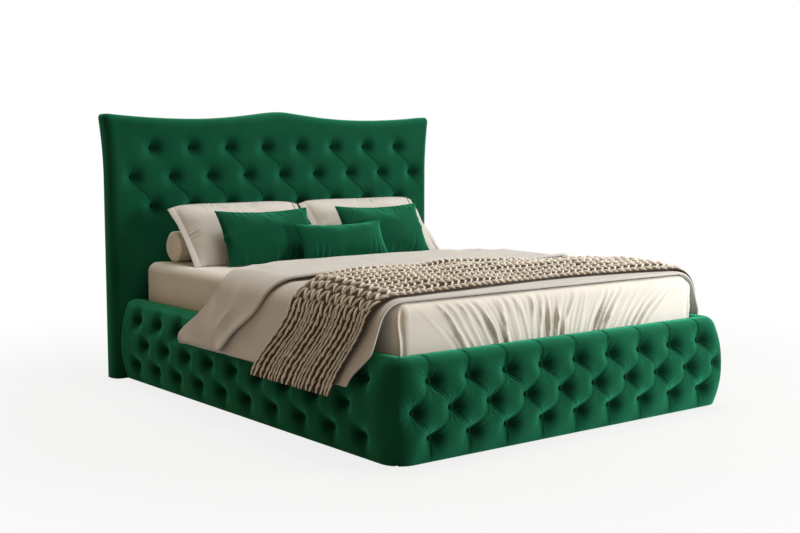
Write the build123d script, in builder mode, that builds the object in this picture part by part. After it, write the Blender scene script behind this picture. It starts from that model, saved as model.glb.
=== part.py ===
from build123d import *
import os
from math import acos, asin, atan2, cos, floor, hypot, pi, radians, sin, sqrt, tan

os.makedirs("parts", exist_ok=True)

# A dressed upholstered bed, in millimetres: +X to the right as seen from the foot,
# +Y towards the head, +Z up, with the origin on the floor under the middle of the bed.

# Mattress and the well that holds it
MATTRESS_WIDTH = 1600.0
MATTRESS_LENGTH = 2000.0
MATTRESS_THICKNESS = 240.0
MATTRESS_EDGE = 45.0
MATTRESS_SINK = 67.0
SIDE_GAP = 10.0
END_GAP = 15.0
SHEET = 2.0
SHEET_OPENING = 6.0

# Boards and tufted pads of the surround
GLIDE_HEIGHT = 12.0
BOARD = 25.0
BOARD_LIFT = 18.0
PAD_HEIGHT = 382.0
PAD_OVER_BOARD = 49.0
PAD_EDGE = 62.0
PAD_SWELL = 33.0
BELLY_SHARE = 0.453
TOP_ROLL = 32.0
TOP_FALL = 6.0
ROW_ABOVE_HEM = 82.0
ROW_BELOW_CREST = 84.0
CORNER_TURN = 45.0
FOOT_PITCH = 185.0
FOOT_MARGIN = 40.0
SIDE_PITCH = 200.0
SIDE_FIRST = 140.0

# Headboard
HEADBOARD_OVERHANG = 63.0
DIP_HEIGHT = 1245.0
CORNER_RISE = 25.0
CREST_RISE = 39.0
CREST_SHOULDER = 3.0
CREST_HALF = 40.0
DIP_OUT = 510.0
DIP_FLAT = 120.0
FLARE = 24.0
FLARE_LENGTH = 320.0
CORNER_RADIUS = 30.0
HEAD_PAD = 42.0
HEAD_PANEL = 12.0
HEAD_CORE = 22.0
HEAD_BACK = 4.0
HEAD_EDGE_RADIUS = 20.0
HEAD_ROW_BELOW_DIP = 141.0
HEAD_ROW_PITCH = 140.0
HEAD_PITCH = 212.0
HEAD_MARGIN = 100.0
HEAD_PAD_RISE = 10.0
POST_WIDTH = 60.0
POST_INSET = 5.0
BATTEN_WIDTH = 45.0
TOP_BATTEN = 80.0
CROSSBAR_HEIGHT = 60.0
CROSSBAR_LIFT = 60.0
CROSSBAR_TOP_GAP = 45.0

# Tufts and their covered buttons
DIMPLE_RADIUS = 46.0
DIMPLE_DEPTH = 34.0
DIMPLE_LIP = 2.0
DIMPLE_LIP_ANGLE = 12.0
SEAT_RADIUS = 12.0
BUTTON_RADIUS = 11.0
BUTTON_HEIGHT = 7.0
BUTTON_RIM = 2.5
PLEAT_DEPTH = 9.0

# Slatted base
SLAT_THICKNESS = 18.0
SLAT_WIDTH = 70.0
SLAT_PITCH = 145.0
SLAT_END_GAP = 1.0
SLAT_MARGIN = 40.0
LEDGER_WIDTH = 30.0
LEDGER_HEIGHT = 40.0
BEAM_WIDTH = 40.0
BEAM_HEIGHT = 70.0
LEG_SIZE = 40.0
LEG_SPREAD = 900.0
HANGER_STEEL = 3.0
HANGER_LENGTH = 50.0
HANGER_TAB = 25.0
HANGER_SCREW_SPREAD = 20.0
CORNER_BLOCK = 45.0
BLOCK_GAP = 4.0
BLOCK_SCREW_SETBACK = 31.5
BLOCK_SCREW_STAGGER = 17.5

# Fixings and glides
PLATE = 4.0
PLATE_LEG = 70.0
PLATE_HEIGHT = 130.0
PLATE_BELOW_LEDGER = 17.0
BOLT_RADIUS = 4.0
BOLT_HEAD_RADIUS = 7.0
BOLT_HEAD = 5.5
BOLT_SPREAD = 70.0
BOLT_SETBACK = 42.0
BOLT_IN_BOARD = 20.0
BOLT_IN_HEADBOARD = 30.0
SCREW_RADIUS = 2.5
SCREW_HEAD_RADIUS = 5.0
SCREW_HEAD = 2.5
SCREW_BITE = 14.0
FIT = 0.3
LEDGER_SCREW_PITCH = 400.0
GLIDE_RADIUS = 12.0
HEAD_GLIDE_RADIUS = 15.0
GLIDE_INSET = 145.0

# Bedding laid over the mattress
DRAPE_GAP = 1.0
DRAPE_BEND = 100.0
DROP_CLEARANCE = 6.0
DUVET = 16.0
DUVET_HANG = 126.0
TURN_DOWN_HANG = 114.0
DUVET_FOOT_MARGIN = 45.0
DUVET_HEAD_MARGIN = 650.0
DUVET_SHOULDER = 155.0
DUVET_CORNER_CUT = 85.0
TURN_DOWN = 605.0
LAYER_GAP = 0.6
THROW = 14.0
THROW_HANG = 172.0
THROW_GAP = 5.0
THROW_FOOT_MARGIN = 130.0
THROW_SLANT = 190.0
THROW_SHOULDER = 155.0
THROW_WAVE = 52.0
FOLD_WIDTH = 70.0
FOLD_HEIGHT = 9.0
FOLD_START = 0.4
DUVET_FOLDS = (0.56, 0.74, 0.9)
THROW_FOLDS = (0.2, 0.4, 0.62)

# Pillows, cushions and bolster
SLIDE_LEAN = 28.0
PILLOW_WIDTH = 730.0
PILLOW_HEIGHT = 365.0
PILLOW_THICKNESS = 106.0
PILLOW_FLANGE = 40.0
FLANGE_CLOTH = 4.0
PILLOW_LEAN = 45.0
PILLOW_OUT = 372.0
PILLOW_FORWARD = 402.0
CUSHION_WIDTH = 510.0
CUSHION_HEIGHT = 282.0
CUSHION_THICKNESS = 108.0
CUSHION_LEFT = -360.0
CUSHION_RIGHT = 322.0
CUSHION_FORWARD = 497.0
LUMBAR_ACROSS = -22.0
LUMBAR_WIDTH = 510.0
LUMBAR_HEIGHT = 208.0
LUMBAR_THICKNESS = 90.0
LUMBAR_FORWARD = 616.0
DRAWN_IN = 14.0
CROWN_SHARE = 0.36
CROWN_INSET = 30.0
FACE_INSET = 78.0
BOLSTER_RADIUS = 74.0
BOLSTER_LENGTH = 1420.0
BOLSTER_FORWARD = 110.0
BOLSTER_EDGE = 12.0
REST_GAP = 1.0
LEAN_REST_GAP = 4.5

# Places that follow from the sizes above
INNER_HALF = MATTRESS_WIDTH / 2 + SIDE_GAP
WELL_LENGTH = MATTRESS_LENGTH + 2 * END_GAP
PAD_DEPTH = BOARD + PAD_EDGE + PAD_SWELL
HEAD_DEPTH = HEAD_PAD + HEAD_PANEL + HEAD_CORE + HEAD_BACK
HEAD_FRONT = (PAD_DEPTH + WELL_LENGTH + HEAD_DEPTH) / 2 - HEAD_DEPTH
FOOT_INNER = HEAD_FRONT - WELL_LENGTH
PANEL_FRONT = HEAD_FRONT + HEAD_PAD
CORE_FRONT = PANEL_FRONT + HEAD_PANEL
BACK_FRONT = CORE_FRONT + HEAD_CORE
PAD_BOTTOM = GLIDE_HEIGHT
PAD_TOP = PAD_BOTTOM + PAD_HEIGHT
BOARD_BOTTOM = PAD_BOTTOM + BOARD_LIFT
BOARD_TOP = PAD_TOP - PAD_OVER_BOARD
LOW_ROW = PAD_BOTTOM + ROW_ABOVE_HEM
HIGH_ROW = PAD_TOP - ROW_BELOW_CREST
MIDDLE_ROW = (LOW_ROW + HIGH_ROW) / 2
BELLY_HEIGHT = BELLY_SHARE * PAD_HEIGHT
BELLY_Z = PAD_BOTTOM + BELLY_HEIGHT
SHOULDER_Z = PAD_TOP - TOP_ROLL
BELLY_RADIUS = (PAD_SWELL**2 + BELLY_HEIGHT**2) / (2 * PAD_SWELL)
DUVET_HEM = PAD_TOP - DUVET_HANG
TURN_DOWN_HEM = PAD_TOP - TURN_DOWN_HANG
THROW_HEM = PAD_TOP - THROW_HANG
MATTRESS_BOTTOM = PAD_TOP - MATTRESS_SINK
MATTRESS_TOP = MATTRESS_BOTTOM + MATTRESS_THICKNESS
SLAT_BOTTOM = MATTRESS_BOTTOM - SLAT_THICKNESS
LEDGER_BOTTOM = SLAT_BOTTOM - LEDGER_HEIGHT
BEAM_BOTTOM = SLAT_BOTTOM - BEAM_HEIGHT
HEAD_PAD_BOTTOM = BOARD_TOP + HEAD_PAD_RISE
HEAD_HALF = INNER_HALF + BOARD + PAD_EDGE + HEADBOARD_OVERHANG
DIP_Z = PAD_BOTTOM + DIP_HEIGHT
TOP_BATTEN_BOTTOM = DIP_Z - TOP_BATTEN
POST_X = INNER_HALF - POST_INSET - POST_WIDTH / 2
SHEET_TOP = MATTRESS_TOP + SHEET
FAR = 2 * (HEAD_HALF + DIP_Z)


def write(piece, node):
    """Name a finished piece and write it to its own file."""
    piece.part.label = node
    export_step(piece.part, f"parts/{node}.step")


def box(low, high):
    """A block between two opposite corners."""
    size = [b - a for a, b in zip(low, high)]
    middle = [(a + b) / 2 for a, b in zip(low, high)]
    return Pos(*middle) * Box(*size, mode=Mode.PRIVATE)


def both_sides(part):
    """A right-hand piece together with its mirror image on the left."""
    with BuildPart() as pair:
        add(part)
        mirror(part, about=Plane.YZ)
    return pair.part


def spaced(count, pitch):
    """Places of a row that is centred on nought."""
    return [(i - (count - 1) / 2) * pitch for i in range(count)]


def belly(z):
    """How far a surround pad's face stands out from the wall of the well at a height."""
    return PAD_DEPTH - BELLY_RADIUS + sqrt(BELLY_RADIUS**2 - (z - BELLY_Z) ** 2)


def belly_tilt(z):
    """Upward tilt of that face at a height, in radians."""
    return asin((z - BELLY_Z) / BELLY_RADIUS)


def crest_out():
    """Distance of the pad's highest line from the wall of the well."""
    return belly(SHOULDER_Z) - TOP_ROLL * tan(pi / 4 + belly_tilt(SHOULDER_Z) / 2)


# Surround pad section: a lens-shaped belly, a rolled top and the step that sits over the board
def pad_profile(plane, solid_corner):
    with BuildSketch(plane) as profile:
        with BuildLine():
            shoulder = (belly(SHOULDER_Z), SHOULDER_Z)
            face = ThreePointArc((BOARD + PAD_EDGE, PAD_BOTTOM), (PAD_DEPTH, BELLY_Z), shoulder)
            TangentArc(shoulder, (crest_out(), PAD_TOP), tangent=face % 1)
            Line((crest_out(), PAD_TOP), (0, PAD_TOP - TOP_FALL))
            if solid_corner:
                Polyline((0, PAD_TOP - TOP_FALL), (0, PAD_BOTTOM), (BOARD + PAD_EDGE, PAD_BOTTOM))
            else:
                Line((0, PAD_TOP - TOP_FALL), (0, BOARD_TOP))
                Polyline((0, BOARD_TOP), (BOARD, BOARD_TOP), (BOARD, PAD_BOTTOM))
                Line((BOARD, PAD_BOTTOM), (BOARD + PAD_EDGE, PAD_BOTTOM))
        make_face()
    return profile.sketch


# One tuft: a trumpet-shaped hollow with a flat seat, and the domed button that sits in it
with BuildPart() as dimple:
    with BuildSketch(Plane.XZ):
        with BuildLine():
            lip = (-cos(radians(DIMPLE_LIP_ANGLE)), -sin(radians(DIMPLE_LIP_ANGLE)))
            TangentArc((DIMPLE_RADIUS, DIMPLE_LIP), (SEAT_RADIUS, -DIMPLE_DEPTH), tangent=lip)
            Polyline((SEAT_RADIUS, -DIMPLE_DEPTH), (0, -DIMPLE_DEPTH), (0, DIMPLE_DEPTH))
            Polyline((0, DIMPLE_DEPTH), (DIMPLE_RADIUS, DIMPLE_DEPTH), (DIMPLE_RADIUS, DIMPLE_LIP))
        make_face()
    revolve(axis=Axis.Z)

with BuildPart() as button:
    with BuildSketch(Plane.XZ):
        with BuildLine():
            rim = (BUTTON_RADIUS, BUTTON_RIM - DIMPLE_DEPTH)
            crown = (0, BUTTON_HEIGHT - DIMPLE_DEPTH)
            TangentArc(crown, rim, tangent=(1, 0))
            Polyline(rim, (BUTTON_RADIUS, -DIMPLE_DEPTH), (0, -DIMPLE_DEPTH), crown)
        make_face()
    revolve(axis=Axis.Z)


def buttons(places):
    """The covered buttons of one pad, as separate solids."""
    with BuildPart() as group:
        with Locations(*places):
            add(button.part)
    return group


def side_tuft(y, z):
    """Plane of a tuft on the right-hand pad, facing out of it."""
    tilt = belly_tilt(z)
    return Plane((INNER_HALF + belly(z), y, z), x_dir=(0, 1, 0), z_dir=(cos(tilt), 0, sin(tilt)))


def foot_tuft(x, z):
    """Plane of a place on the footboard's face, which turns with the rounded corners."""
    tilt = belly_tilt(z)
    past = max(abs(x) - INNER_HALF, 0)
    turn = asin(past / belly(z)) * (1 if x > 0 else -1)
    facing = (sin(turn) * cos(tilt), -cos(turn) * cos(tilt), sin(tilt))
    return Plane((x, FOOT_INNER - belly(z) * cos(turn), z), x_dir=(cos(turn), sin(turn), 0), z_dir=facing)


def pleat(start, end, outward):
    """A wedge that presses a pleat into a pad along the line between two places on its face."""
    run = Vector(*end) - Vector(*start)
    with BuildPart() as wedge:
        with BuildSketch(Plane(start, x_dir=outward, z_dir=run)):
            Rectangle(PLEAT_DEPTH * sqrt(2), PLEAT_DEPTH * sqrt(2), rotation=45)
        extrude(amount=run.length)
    return wedge.part


# Footboard pad with its diamond pleats
foot_gaps = floor(2 * (INNER_HALF + BOARD + PAD_EDGE - FOOT_MARGIN) / FOOT_PITCH)
foot_long = [foot_tuft(x, MIDDLE_ROW) for x in spaced(foot_gaps + 1, FOOT_PITCH)]
foot_low = [foot_tuft(x, LOW_ROW) for x in spaced(foot_gaps, FOOT_PITCH)]
foot_high = [foot_tuft(x, HIGH_ROW) for x in spaced(foot_gaps, FOOT_PITCH)]
foot_tufts = foot_low + foot_long + foot_high
foot_pleats = []
for short_row in (foot_low, foot_high):
    for i, tuft in enumerate(short_row):
        for partner in foot_long[i : i + 2]:
            foot_pleats.append(pleat(tuft.origin, partner.origin, (0, -1, 0)))
for tuft in foot_low:
    hem_point = (tuft.origin.X, FOOT_INNER - BOARD - PAD_EDGE, PAD_BOTTOM)
    foot_pleats.append(pleat(tuft.origin, hem_point, (0, -1, 0)))
for tuft in foot_high:
    shoulder_point = (tuft.origin.X, FOOT_INNER - belly(SHOULDER_Z), SHOULDER_Z)
    crest_point = (tuft.origin.X, FOOT_INNER - crest_out(), PAD_TOP)
    foot_pleats.append(pleat(tuft.origin, shoulder_point, (0, -1, 0)))
    foot_pleats.append(pleat(shoulder_point, crest_point, (0, -1, 0)))

foot_plane = Plane((INNER_HALF, FOOT_INNER, 0), x_dir=(0, -1, 0), z_dir=(-1, 0, 0))
foot_section = pad_profile(foot_plane, solid_corner=False)
foot_corner_section = pad_profile(foot_plane, solid_corner=True)
with BuildPart() as foot_corner:
    corner_axis = Axis((INNER_HALF, FOOT_INNER, 0), (0, 0, 1))
    revolve(foot_corner_section, axis=corner_axis, revolution_arc=CORNER_TURN)

with BuildPart() as foot_pad:
    extrude(foot_section, amount=2 * INNER_HALF)
    add(foot_corner.part)
    mirror(foot_corner.part, about=Plane.YZ)
    add(foot_pleats, mode=Mode.SUBTRACT)
    with Locations(*foot_tufts):
        add(dimple.part, mode=Mode.SUBTRACT)
write(foot_pad, "foot_pad")
write(buttons(foot_tufts), "foot_buttons")

# Side pads, which turn the first half of each foot corner
side_plane = Plane((INNER_HALF, FOOT_INNER, 0), x_dir=(1, 0, 0), z_dir=(0, -1, 0))
side_section = pad_profile(side_plane, solid_corner=False)
side_corner_section = pad_profile(side_plane, solid_corner=True)
side_tufts = []
for row, first in ((LOW_ROW, SIDE_FIRST), (MIDDLE_ROW, SIDE_FIRST + SIDE_PITCH / 2), (HIGH_ROW, SIDE_FIRST)):
    count = floor((WELL_LENGTH - first) / SIDE_PITCH) + 1
    for i in range(count):
        side_tufts.append(side_tuft(HEAD_FRONT - first - i * SIDE_PITCH, row))

with BuildPart() as side_pad_right:
    extrude(side_section, amount=-WELL_LENGTH)
    revolve(side_corner_section, axis=corner_axis, revolution_arc=-CORNER_TURN)
    with Locations(*side_tufts):
        add(dimple.part, mode=Mode.SUBTRACT)
write(side_pad_right, "side_pad_right")
with BuildPart() as side_pad_left:
    mirror(side_pad_right.part, about=Plane.YZ)
write(side_pad_left, "side_pad_left")

side_buttons_right = buttons(side_tufts)
write(side_buttons_right, "side_buttons_right")
with BuildPart() as side_buttons_left:
    mirror(side_buttons_right.part, about=Plane.YZ)
write(side_buttons_left, "side_buttons_left")


# Headboard outline: straight sides that flare at the top, and a top edge with two dips and a crest
def headboard_outline(front, depth):
    """The full outline as a slab, from its front face towards the wall."""
    corner_z = DIP_Z + CORNER_RISE
    crest_z = DIP_Z + CREST_RISE
    flare_start = (HEAD_HALF, corner_z - FLARE_LENGTH)
    corner = (HEAD_HALF + FLARE, corner_z)
    dip_outer = (DIP_OUT + DIP_FLAT / 2, DIP_Z)
    dip_inner = (DIP_OUT - DIP_FLAT / 2, DIP_Z)
    crest_side = (CREST_HALF, crest_z - CREST_SHOULDER)
    with BuildPart() as slab:
        with BuildSketch(Plane.XZ.offset(-front)) as outline:
            with BuildLine():
                Polyline((0, PAD_BOTTOM), (HEAD_HALF, PAD_BOTTOM), flare_start)
                TangentArc(flare_start, corner, tangent=(0, 1))
                TangentArc(dip_outer, corner, tangent=(1, 0))
                Line(dip_outer, dip_inner)
                TangentArc(dip_inner, crest_side, tangent=(-1, 0))
                TangentArc((0, crest_z), crest_side, tangent=(1, 0))
                mirror(about=Plane.YZ)
            make_face()
            across = outline.vertices().sort_by(Axis.X)
            fillet([across[0], across[-1]], radius=CORNER_RADIUS)
        extrude(amount=-depth)
    return slab.part


head_tufts = []
head_gaps = floor(2 * (HEAD_HALF - HEAD_MARGIN) / HEAD_PITCH)
for row, count in enumerate((head_gaps, head_gaps + 1, head_gaps)):
    z = DIP_Z - HEAD_ROW_BELOW_DIP - row * HEAD_ROW_PITCH
    for x in spaced(count, HEAD_PITCH):
        head_tufts.append(Plane((x, HEAD_FRONT, z), x_dir=(1, 0, 0), z_dir=(0, -1, 0)))

pad_slab = headboard_outline(HEAD_FRONT, HEAD_PAD)
core_slab = headboard_outline(CORE_FRONT, HEAD_CORE)
with BuildPart() as headboard_pad:
    add(pad_slab)
    add(box((-FAR, -FAR, HEAD_PAD_BOTTOM), (FAR, FAR, FAR)), mode=Mode.INTERSECT)
    front_edges = headboard_pad.faces().sort_by(Axis.Y)[0].edges()
    fillet(front_edges.sort_by(Axis.Z)[1:], radius=HEAD_EDGE_RADIUS)
    with Locations(*head_tufts):
        add(dimple.part, mode=Mode.SUBTRACT)
write(headboard_pad, "headboard_pad")
write(buttons(head_tufts), "headboard_buttons")

# Padded fronts of the headboard's legs, outside the rails
leg_pad_inner = INNER_HALF + BOARD + FIT
with BuildPart() as headboard_leg_pads:
    add(pad_slab)
    add(box((-FAR, -FAR, -FAR), (FAR, FAR, HEAD_PAD_BOTTOM)), mode=Mode.INTERSECT)
    add(box((-leg_pad_inner, -FAR, -FAR), (leg_pad_inner, FAR, FAR)), mode=Mode.SUBTRACT)
write(headboard_leg_pads, "headboard_leg_pads")


# Fixings: a hexagon bolt and a countersunk screw, each driven along its own -Z, and their holes
def bolt(length):
    with BuildPart() as fixing:
        with BuildSketch():
            RegularPolygon(BOLT_HEAD_RADIUS, 6)
        extrude(amount=BOLT_HEAD)
        with Locations((0, 0, -length / 2)):
            Cylinder(BOLT_RADIUS, length)
    return fixing.part


def screw(length, gap):
    with BuildPart() as fixing:
        with Locations((0, 0, -length / 2)):
            Cylinder(SCREW_RADIUS + gap, length + 2 * gap)
        with Locations((0, 0, -SCREW_HEAD / 2)):
            Cone(SCREW_RADIUS + gap, SCREW_HEAD_RADIUS + gap, SCREW_HEAD)
    return fixing.part


def bolt_hole(length):
    with BuildPart() as hole:
        Cylinder(BOLT_RADIUS + FIT, 2 * length + 2 * FIT)
    return hole.part


def placed(part, places):
    """Copies of one small piece, as separate solids."""
    with BuildPart() as group:
        with Locations(*places):
            add(part)
    return group


def drilled(blank, cutters):
    """A piece with its holes: each cutter goes in at its own places."""
    with BuildPart() as piece:
        add(blank)
        for cutter, places in cutters:
            with Locations(*places):
                add(cutter, mode=Mode.SUBTRACT)
    return piece


# Steel angle plates that join the side boards to the headboard, and their bolts
plate_top = LEDGER_BOTTOM - PLATE_BELOW_LEDGER
plate_bottom = plate_top - PLATE_HEIGHT
bolt_levels = [(plate_bottom + plate_top) / 2 + z for z in spaced(2, BOLT_SPREAD)]
panel_bolt_length = PLATE + BOLT_IN_HEADBOARD
board_bolt_length = PLATE + BOLT_IN_BOARD
panel_bolts = [
    Plane((side * POST_X, PANEL_FRONT - PLATE, z), z_dir=(0, -1, 0)) for side in (-1, 1) for z in bolt_levels
]
board_bolts = [
    Plane((side * (INNER_HALF - PLATE), PANEL_FRONT - BOLT_SETBACK, z), z_dir=(-side, 0, 0))
    for side in (-1, 1)
    for z in bolt_levels
]
with BuildPart() as plate_blank:
    add(box((INNER_HALF - PLATE, PANEL_FRONT - PLATE_LEG, plate_bottom),
            (INNER_HALF, PANEL_FRONT, plate_top)))
    add(box((INNER_HALF - PLATE_LEG, PANEL_FRONT - PLATE, plate_bottom),
            (INNER_HALF, PANEL_FRONT, plate_top)))
panel_bolt_hole = (bolt_hole(panel_bolt_length), panel_bolts)
board_bolt_hole = (bolt_hole(board_bolt_length), board_bolts)
write(drilled(both_sides(plate_blank.part), [panel_bolt_hole, board_bolt_hole]), "head_brackets")
write(placed(bolt(panel_bolt_length), panel_bolts), "headboard_bolts")
write(placed(bolt(board_bolt_length), board_bolts), "side_board_bolts")

# Foot corner blocks, screwed to the side boards and the foot board
block_screw_length = CORNER_BLOCK + SCREW_BITE
block_screws = []
for side in (-1, 1):
    for z in bolt_levels:
        into_side = (side * (INNER_HALF - CORNER_BLOCK), FOOT_INNER + BLOCK_SCREW_SETBACK, z)
        foot_x = side * (INNER_HALF - BLOCK_SCREW_SETBACK)
        into_foot = (foot_x, FOOT_INNER + CORNER_BLOCK, z + BLOCK_SCREW_STAGGER)
        block_screws.append(Plane(into_side, z_dir=(-side, 0, 0)))
        block_screws.append(Plane(into_foot, z_dir=(0, 1, 0)))
block_screw_hole = (screw(block_screw_length, FIT), block_screws)
block_blank = box((INNER_HALF - CORNER_BLOCK, FOOT_INNER, BOARD_BOTTOM),
                  (INNER_HALF, FOOT_INNER + CORNER_BLOCK, LEDGER_BOTTOM - BLOCK_GAP))
write(drilled(both_sides(block_blank), [block_screw_hole]), "foot_corner_blocks")
write(placed(screw(block_screw_length, 0), block_screws), "corner_screws")

# Slats on their ledgers
slat_room = WELL_LENGTH - 2 * SLAT_MARGIN - SLAT_WIDTH
slat_rows = [y + (HEAD_FRONT + FOOT_INNER) / 2 for y in spaced(floor(slat_room / SLAT_PITCH) + 1, SLAT_PITCH)]
slat_half = INNER_HALF - SLAT_END_GAP
slat_screw_x = INNER_HALF - LEDGER_WIDTH / 2
slat_screws = [Plane((side * slat_screw_x, y, MATTRESS_BOTTOM)) for side in (-1, 1) for y in slat_rows]
slat_screw_length = SLAT_THICKNESS + SCREW_BITE
slat_screw_hole = (screw(slat_screw_length, FIT), slat_screws)
with BuildPart() as slat_blanks:
    with Locations(*[(0, y, SLAT_BOTTOM + SLAT_THICKNESS / 2) for y in slat_rows]):
        Box(2 * slat_half, SLAT_WIDTH, SLAT_THICKNESS)
write(drilled(slat_blanks.part, [slat_screw_hole]), "slats")
write(placed(screw(slat_screw_length, 0), slat_screws), "slat_screws")

ledger_middle = LEDGER_BOTTOM + LEDGER_HEIGHT / 2
ledger_count = floor((WELL_LENGTH - LEDGER_SCREW_PITCH / 2) / LEDGER_SCREW_PITCH) + 1
ledger_rows = [y + (HEAD_FRONT + FOOT_INNER) / 2 for y in spaced(ledger_count, LEDGER_SCREW_PITCH)]
ledger_inner = INNER_HALF - LEDGER_WIDTH
ledger_screws = [
    Plane((side * ledger_inner, y + SLAT_PITCH / 2, ledger_middle), z_dir=(-side, 0, 0))
    for side in (-1, 1)
    for y in ledger_rows
]
ledger_screw_length = LEDGER_WIDTH + SCREW_BITE
ledger_screw_hole = (screw(ledger_screw_length, FIT), ledger_screws)
for name, side in (("left", -1), ("right", 1)):
    ledger_x = sorted((side * ledger_inner, side * INNER_HALF))
    blank = box((ledger_x[0], FOOT_INNER, LEDGER_BOTTOM), (ledger_x[1], PANEL_FRONT, SLAT_BOTTOM))
    write(drilled(blank, [ledger_screw_hole, slat_screw_hole]), f"side_ledger_{name}")
    board_x = sorted((side * INNER_HALF, side * (INNER_HALF + BOARD)))
    blank = box((board_x[0], FOOT_INNER, BOARD_BOTTOM), (board_x[1], PANEL_FRONT, BOARD_TOP))
    write(drilled(blank, [ledger_screw_hole, board_bolt_hole, block_screw_hole]), f"side_board_{name}")
write(placed(screw(ledger_screw_length, 0), ledger_screws), "ledger_screws")

# Centre beam in its steel hangers, with two legs
hanger_half = BEAM_WIDTH / 2 + FIT + HANGER_STEEL
hanger_low = BEAM_BOTTOM - FIT - HANGER_STEEL
hanger_screws = []
hanger_screw_z = hanger_low - HANGER_TAB / 2
for x in spaced(2, HANGER_SCREW_SPREAD):
    hanger_screws.append(Plane((x, FOOT_INNER + HANGER_STEEL, hanger_screw_z), z_dir=(0, 1, 0)))
    hanger_screws.append(Plane((x, PANEL_FRONT - HANGER_STEEL, hanger_screw_z), z_dir=(0, -1, 0)))
hanger_screw_length = HANGER_STEEL + HEAD_PANEL - SCREW_HEAD
hanger_screw_hole = (screw(hanger_screw_length, FIT), hanger_screws)
with BuildPart() as hanger_blanks:
    for wall, inward in ((FOOT_INNER, 1), (PANEL_FRONT, -1)):
        cup = sorted((wall, wall + inward * HANGER_LENGTH))
        room = sorted((wall + inward * HANGER_STEEL, wall + inward * 2 * HANGER_LENGTH))
        tab = sorted((wall, wall + inward * HANGER_STEEL))
        add(box((-hanger_half, cup[0], hanger_low), (hanger_half, cup[1], SLAT_BOTTOM)))
        add(box((-hanger_half + HANGER_STEEL, room[0], hanger_low + HANGER_STEEL),
                (hanger_half - HANGER_STEEL, room[1], FAR)), mode=Mode.SUBTRACT)
        add(box((-hanger_half, tab[0], hanger_low - HANGER_TAB), (hanger_half, tab[1], hanger_low)))
write(drilled(hanger_blanks.part, [hanger_screw_hole]), "beam_hangers")
write(placed(screw(hanger_screw_length, 0), hanger_screws), "hanger_screws")

with BuildPart() as centre_beam:
    add(box((-BEAM_WIDTH / 2, FOOT_INNER + HANGER_STEEL + FIT, BEAM_BOTTOM),
            (BEAM_WIDTH / 2, PANEL_FRONT - HANGER_STEEL - FIT, SLAT_BOTTOM)))
write(centre_beam, "centre_beam")

leg_rows = spaced(2, LEG_SPREAD)
with BuildPart() as centre_legs:
    with Locations(*[(0, y, (GLIDE_HEIGHT + BEAM_BOTTOM) / 2) for y in leg_rows]):
        Box(LEG_SIZE, LEG_SIZE, BEAM_BOTTOM - GLIDE_HEIGHT)
write(centre_legs, "centre_legs")

foot_board_blank = box((-INNER_HALF, FOOT_INNER - BOARD, BOARD_BOTTOM), (INNER_HALF, FOOT_INNER, BOARD_TOP))
write(drilled(foot_board_blank, [block_screw_hole, hanger_screw_hole]), "foot_board")

# Headboard frame behind the pad
panel_blank = headboard_outline(PANEL_FRONT, HEAD_PANEL)
write(drilled(panel_blank, [panel_bolt_hole, hanger_screw_hole]), "headboard_panel")

post_blank = box((POST_X - POST_WIDTH / 2, CORE_FRONT, PAD_BOTTOM),
                 (POST_X + POST_WIDTH / 2, BACK_FRONT, TOP_BATTEN_BOTTOM))
write(drilled(both_sides(post_blank), [panel_bolt_hole]), "headboard_posts")

low_bar = PAD_BOTTOM + CROSSBAR_LIFT
high_bar = TOP_BATTEN_BOTTOM - CROSSBAR_TOP_GAP - CROSSBAR_HEIGHT
with BuildPart() as headboard_crossbars:
    for z in (low_bar, (low_bar + high_bar) / 2, high_bar):
        add(box((-POST_X + POST_WIDTH / 2, CORE_FRONT, z),
                (POST_X - POST_WIDTH / 2, BACK_FRONT, z + CROSSBAR_HEIGHT)))
write(headboard_crossbars, "headboard_crossbars")

batten_inner = HEAD_HALF - BATTEN_WIDTH
with BuildPart() as headboard_side_battens:
    add(core_slab)
    add(box((-batten_inner, -FAR, -FAR), (batten_inner, FAR, FAR)), mode=Mode.SUBTRACT)
    add(box((-FAR, -FAR, TOP_BATTEN_BOTTOM), (FAR, FAR, FAR)), mode=Mode.SUBTRACT)
write(headboard_side_battens, "headboard_side_battens")

with BuildPart() as headboard_top_batten:
    add(core_slab)
    add(box((-FAR, -FAR, TOP_BATTEN_BOTTOM), (FAR, FAR, FAR)), mode=Mode.INTERSECT)
write(headboard_top_batten, "headboard_top_batten")

back_slab = headboard_outline(BACK_FRONT, HEAD_BACK)
with BuildPart() as headboard_back:
    add(back_slab)
write(headboard_back, "headboard_back")


# Glides that carry the boards, the headboard posts and the centre legs
def glides(places, radius, height):
    with BuildPart() as group:
        with Locations(*[(x, y, height / 2) for x, y in places]):
            Cylinder(radius, height)
    return group


board_middle = INNER_HALF + BOARD / 2
side_glide_rows = (FOOT_INNER + GLIDE_INSET, 0, HEAD_FRONT - GLIDE_INSET)
side_glide_places = [(side * board_middle, y) for side in (-1, 1) for y in side_glide_rows]
foot_glide_places = [(x, FOOT_INNER - BOARD / 2) for x in spaced(2, INNER_HALF)]
write(glides(side_glide_places + foot_glide_places, GLIDE_RADIUS, BOARD_BOTTOM), "board_glides")
head_glide_places = [(x, (PANEL_FRONT + BACK_FRONT) / 2) for x in (-POST_X, POST_X)]
write(glides(head_glide_places, HEAD_GLIDE_RADIUS, PAD_BOTTOM), "headboard_glides")
write(glides([(0, y) for y in leg_rows], HEAD_GLIDE_RADIUS, GLIDE_HEIGHT), "leg_glides")

# Mattress and the fitted sheet that covers its top and sides
mattress_low = (-MATTRESS_WIDTH / 2, FOOT_INNER + END_GAP, MATTRESS_BOTTOM)
mattress_high = (MATTRESS_WIDTH / 2, HEAD_FRONT - END_GAP, MATTRESS_TOP)


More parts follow.
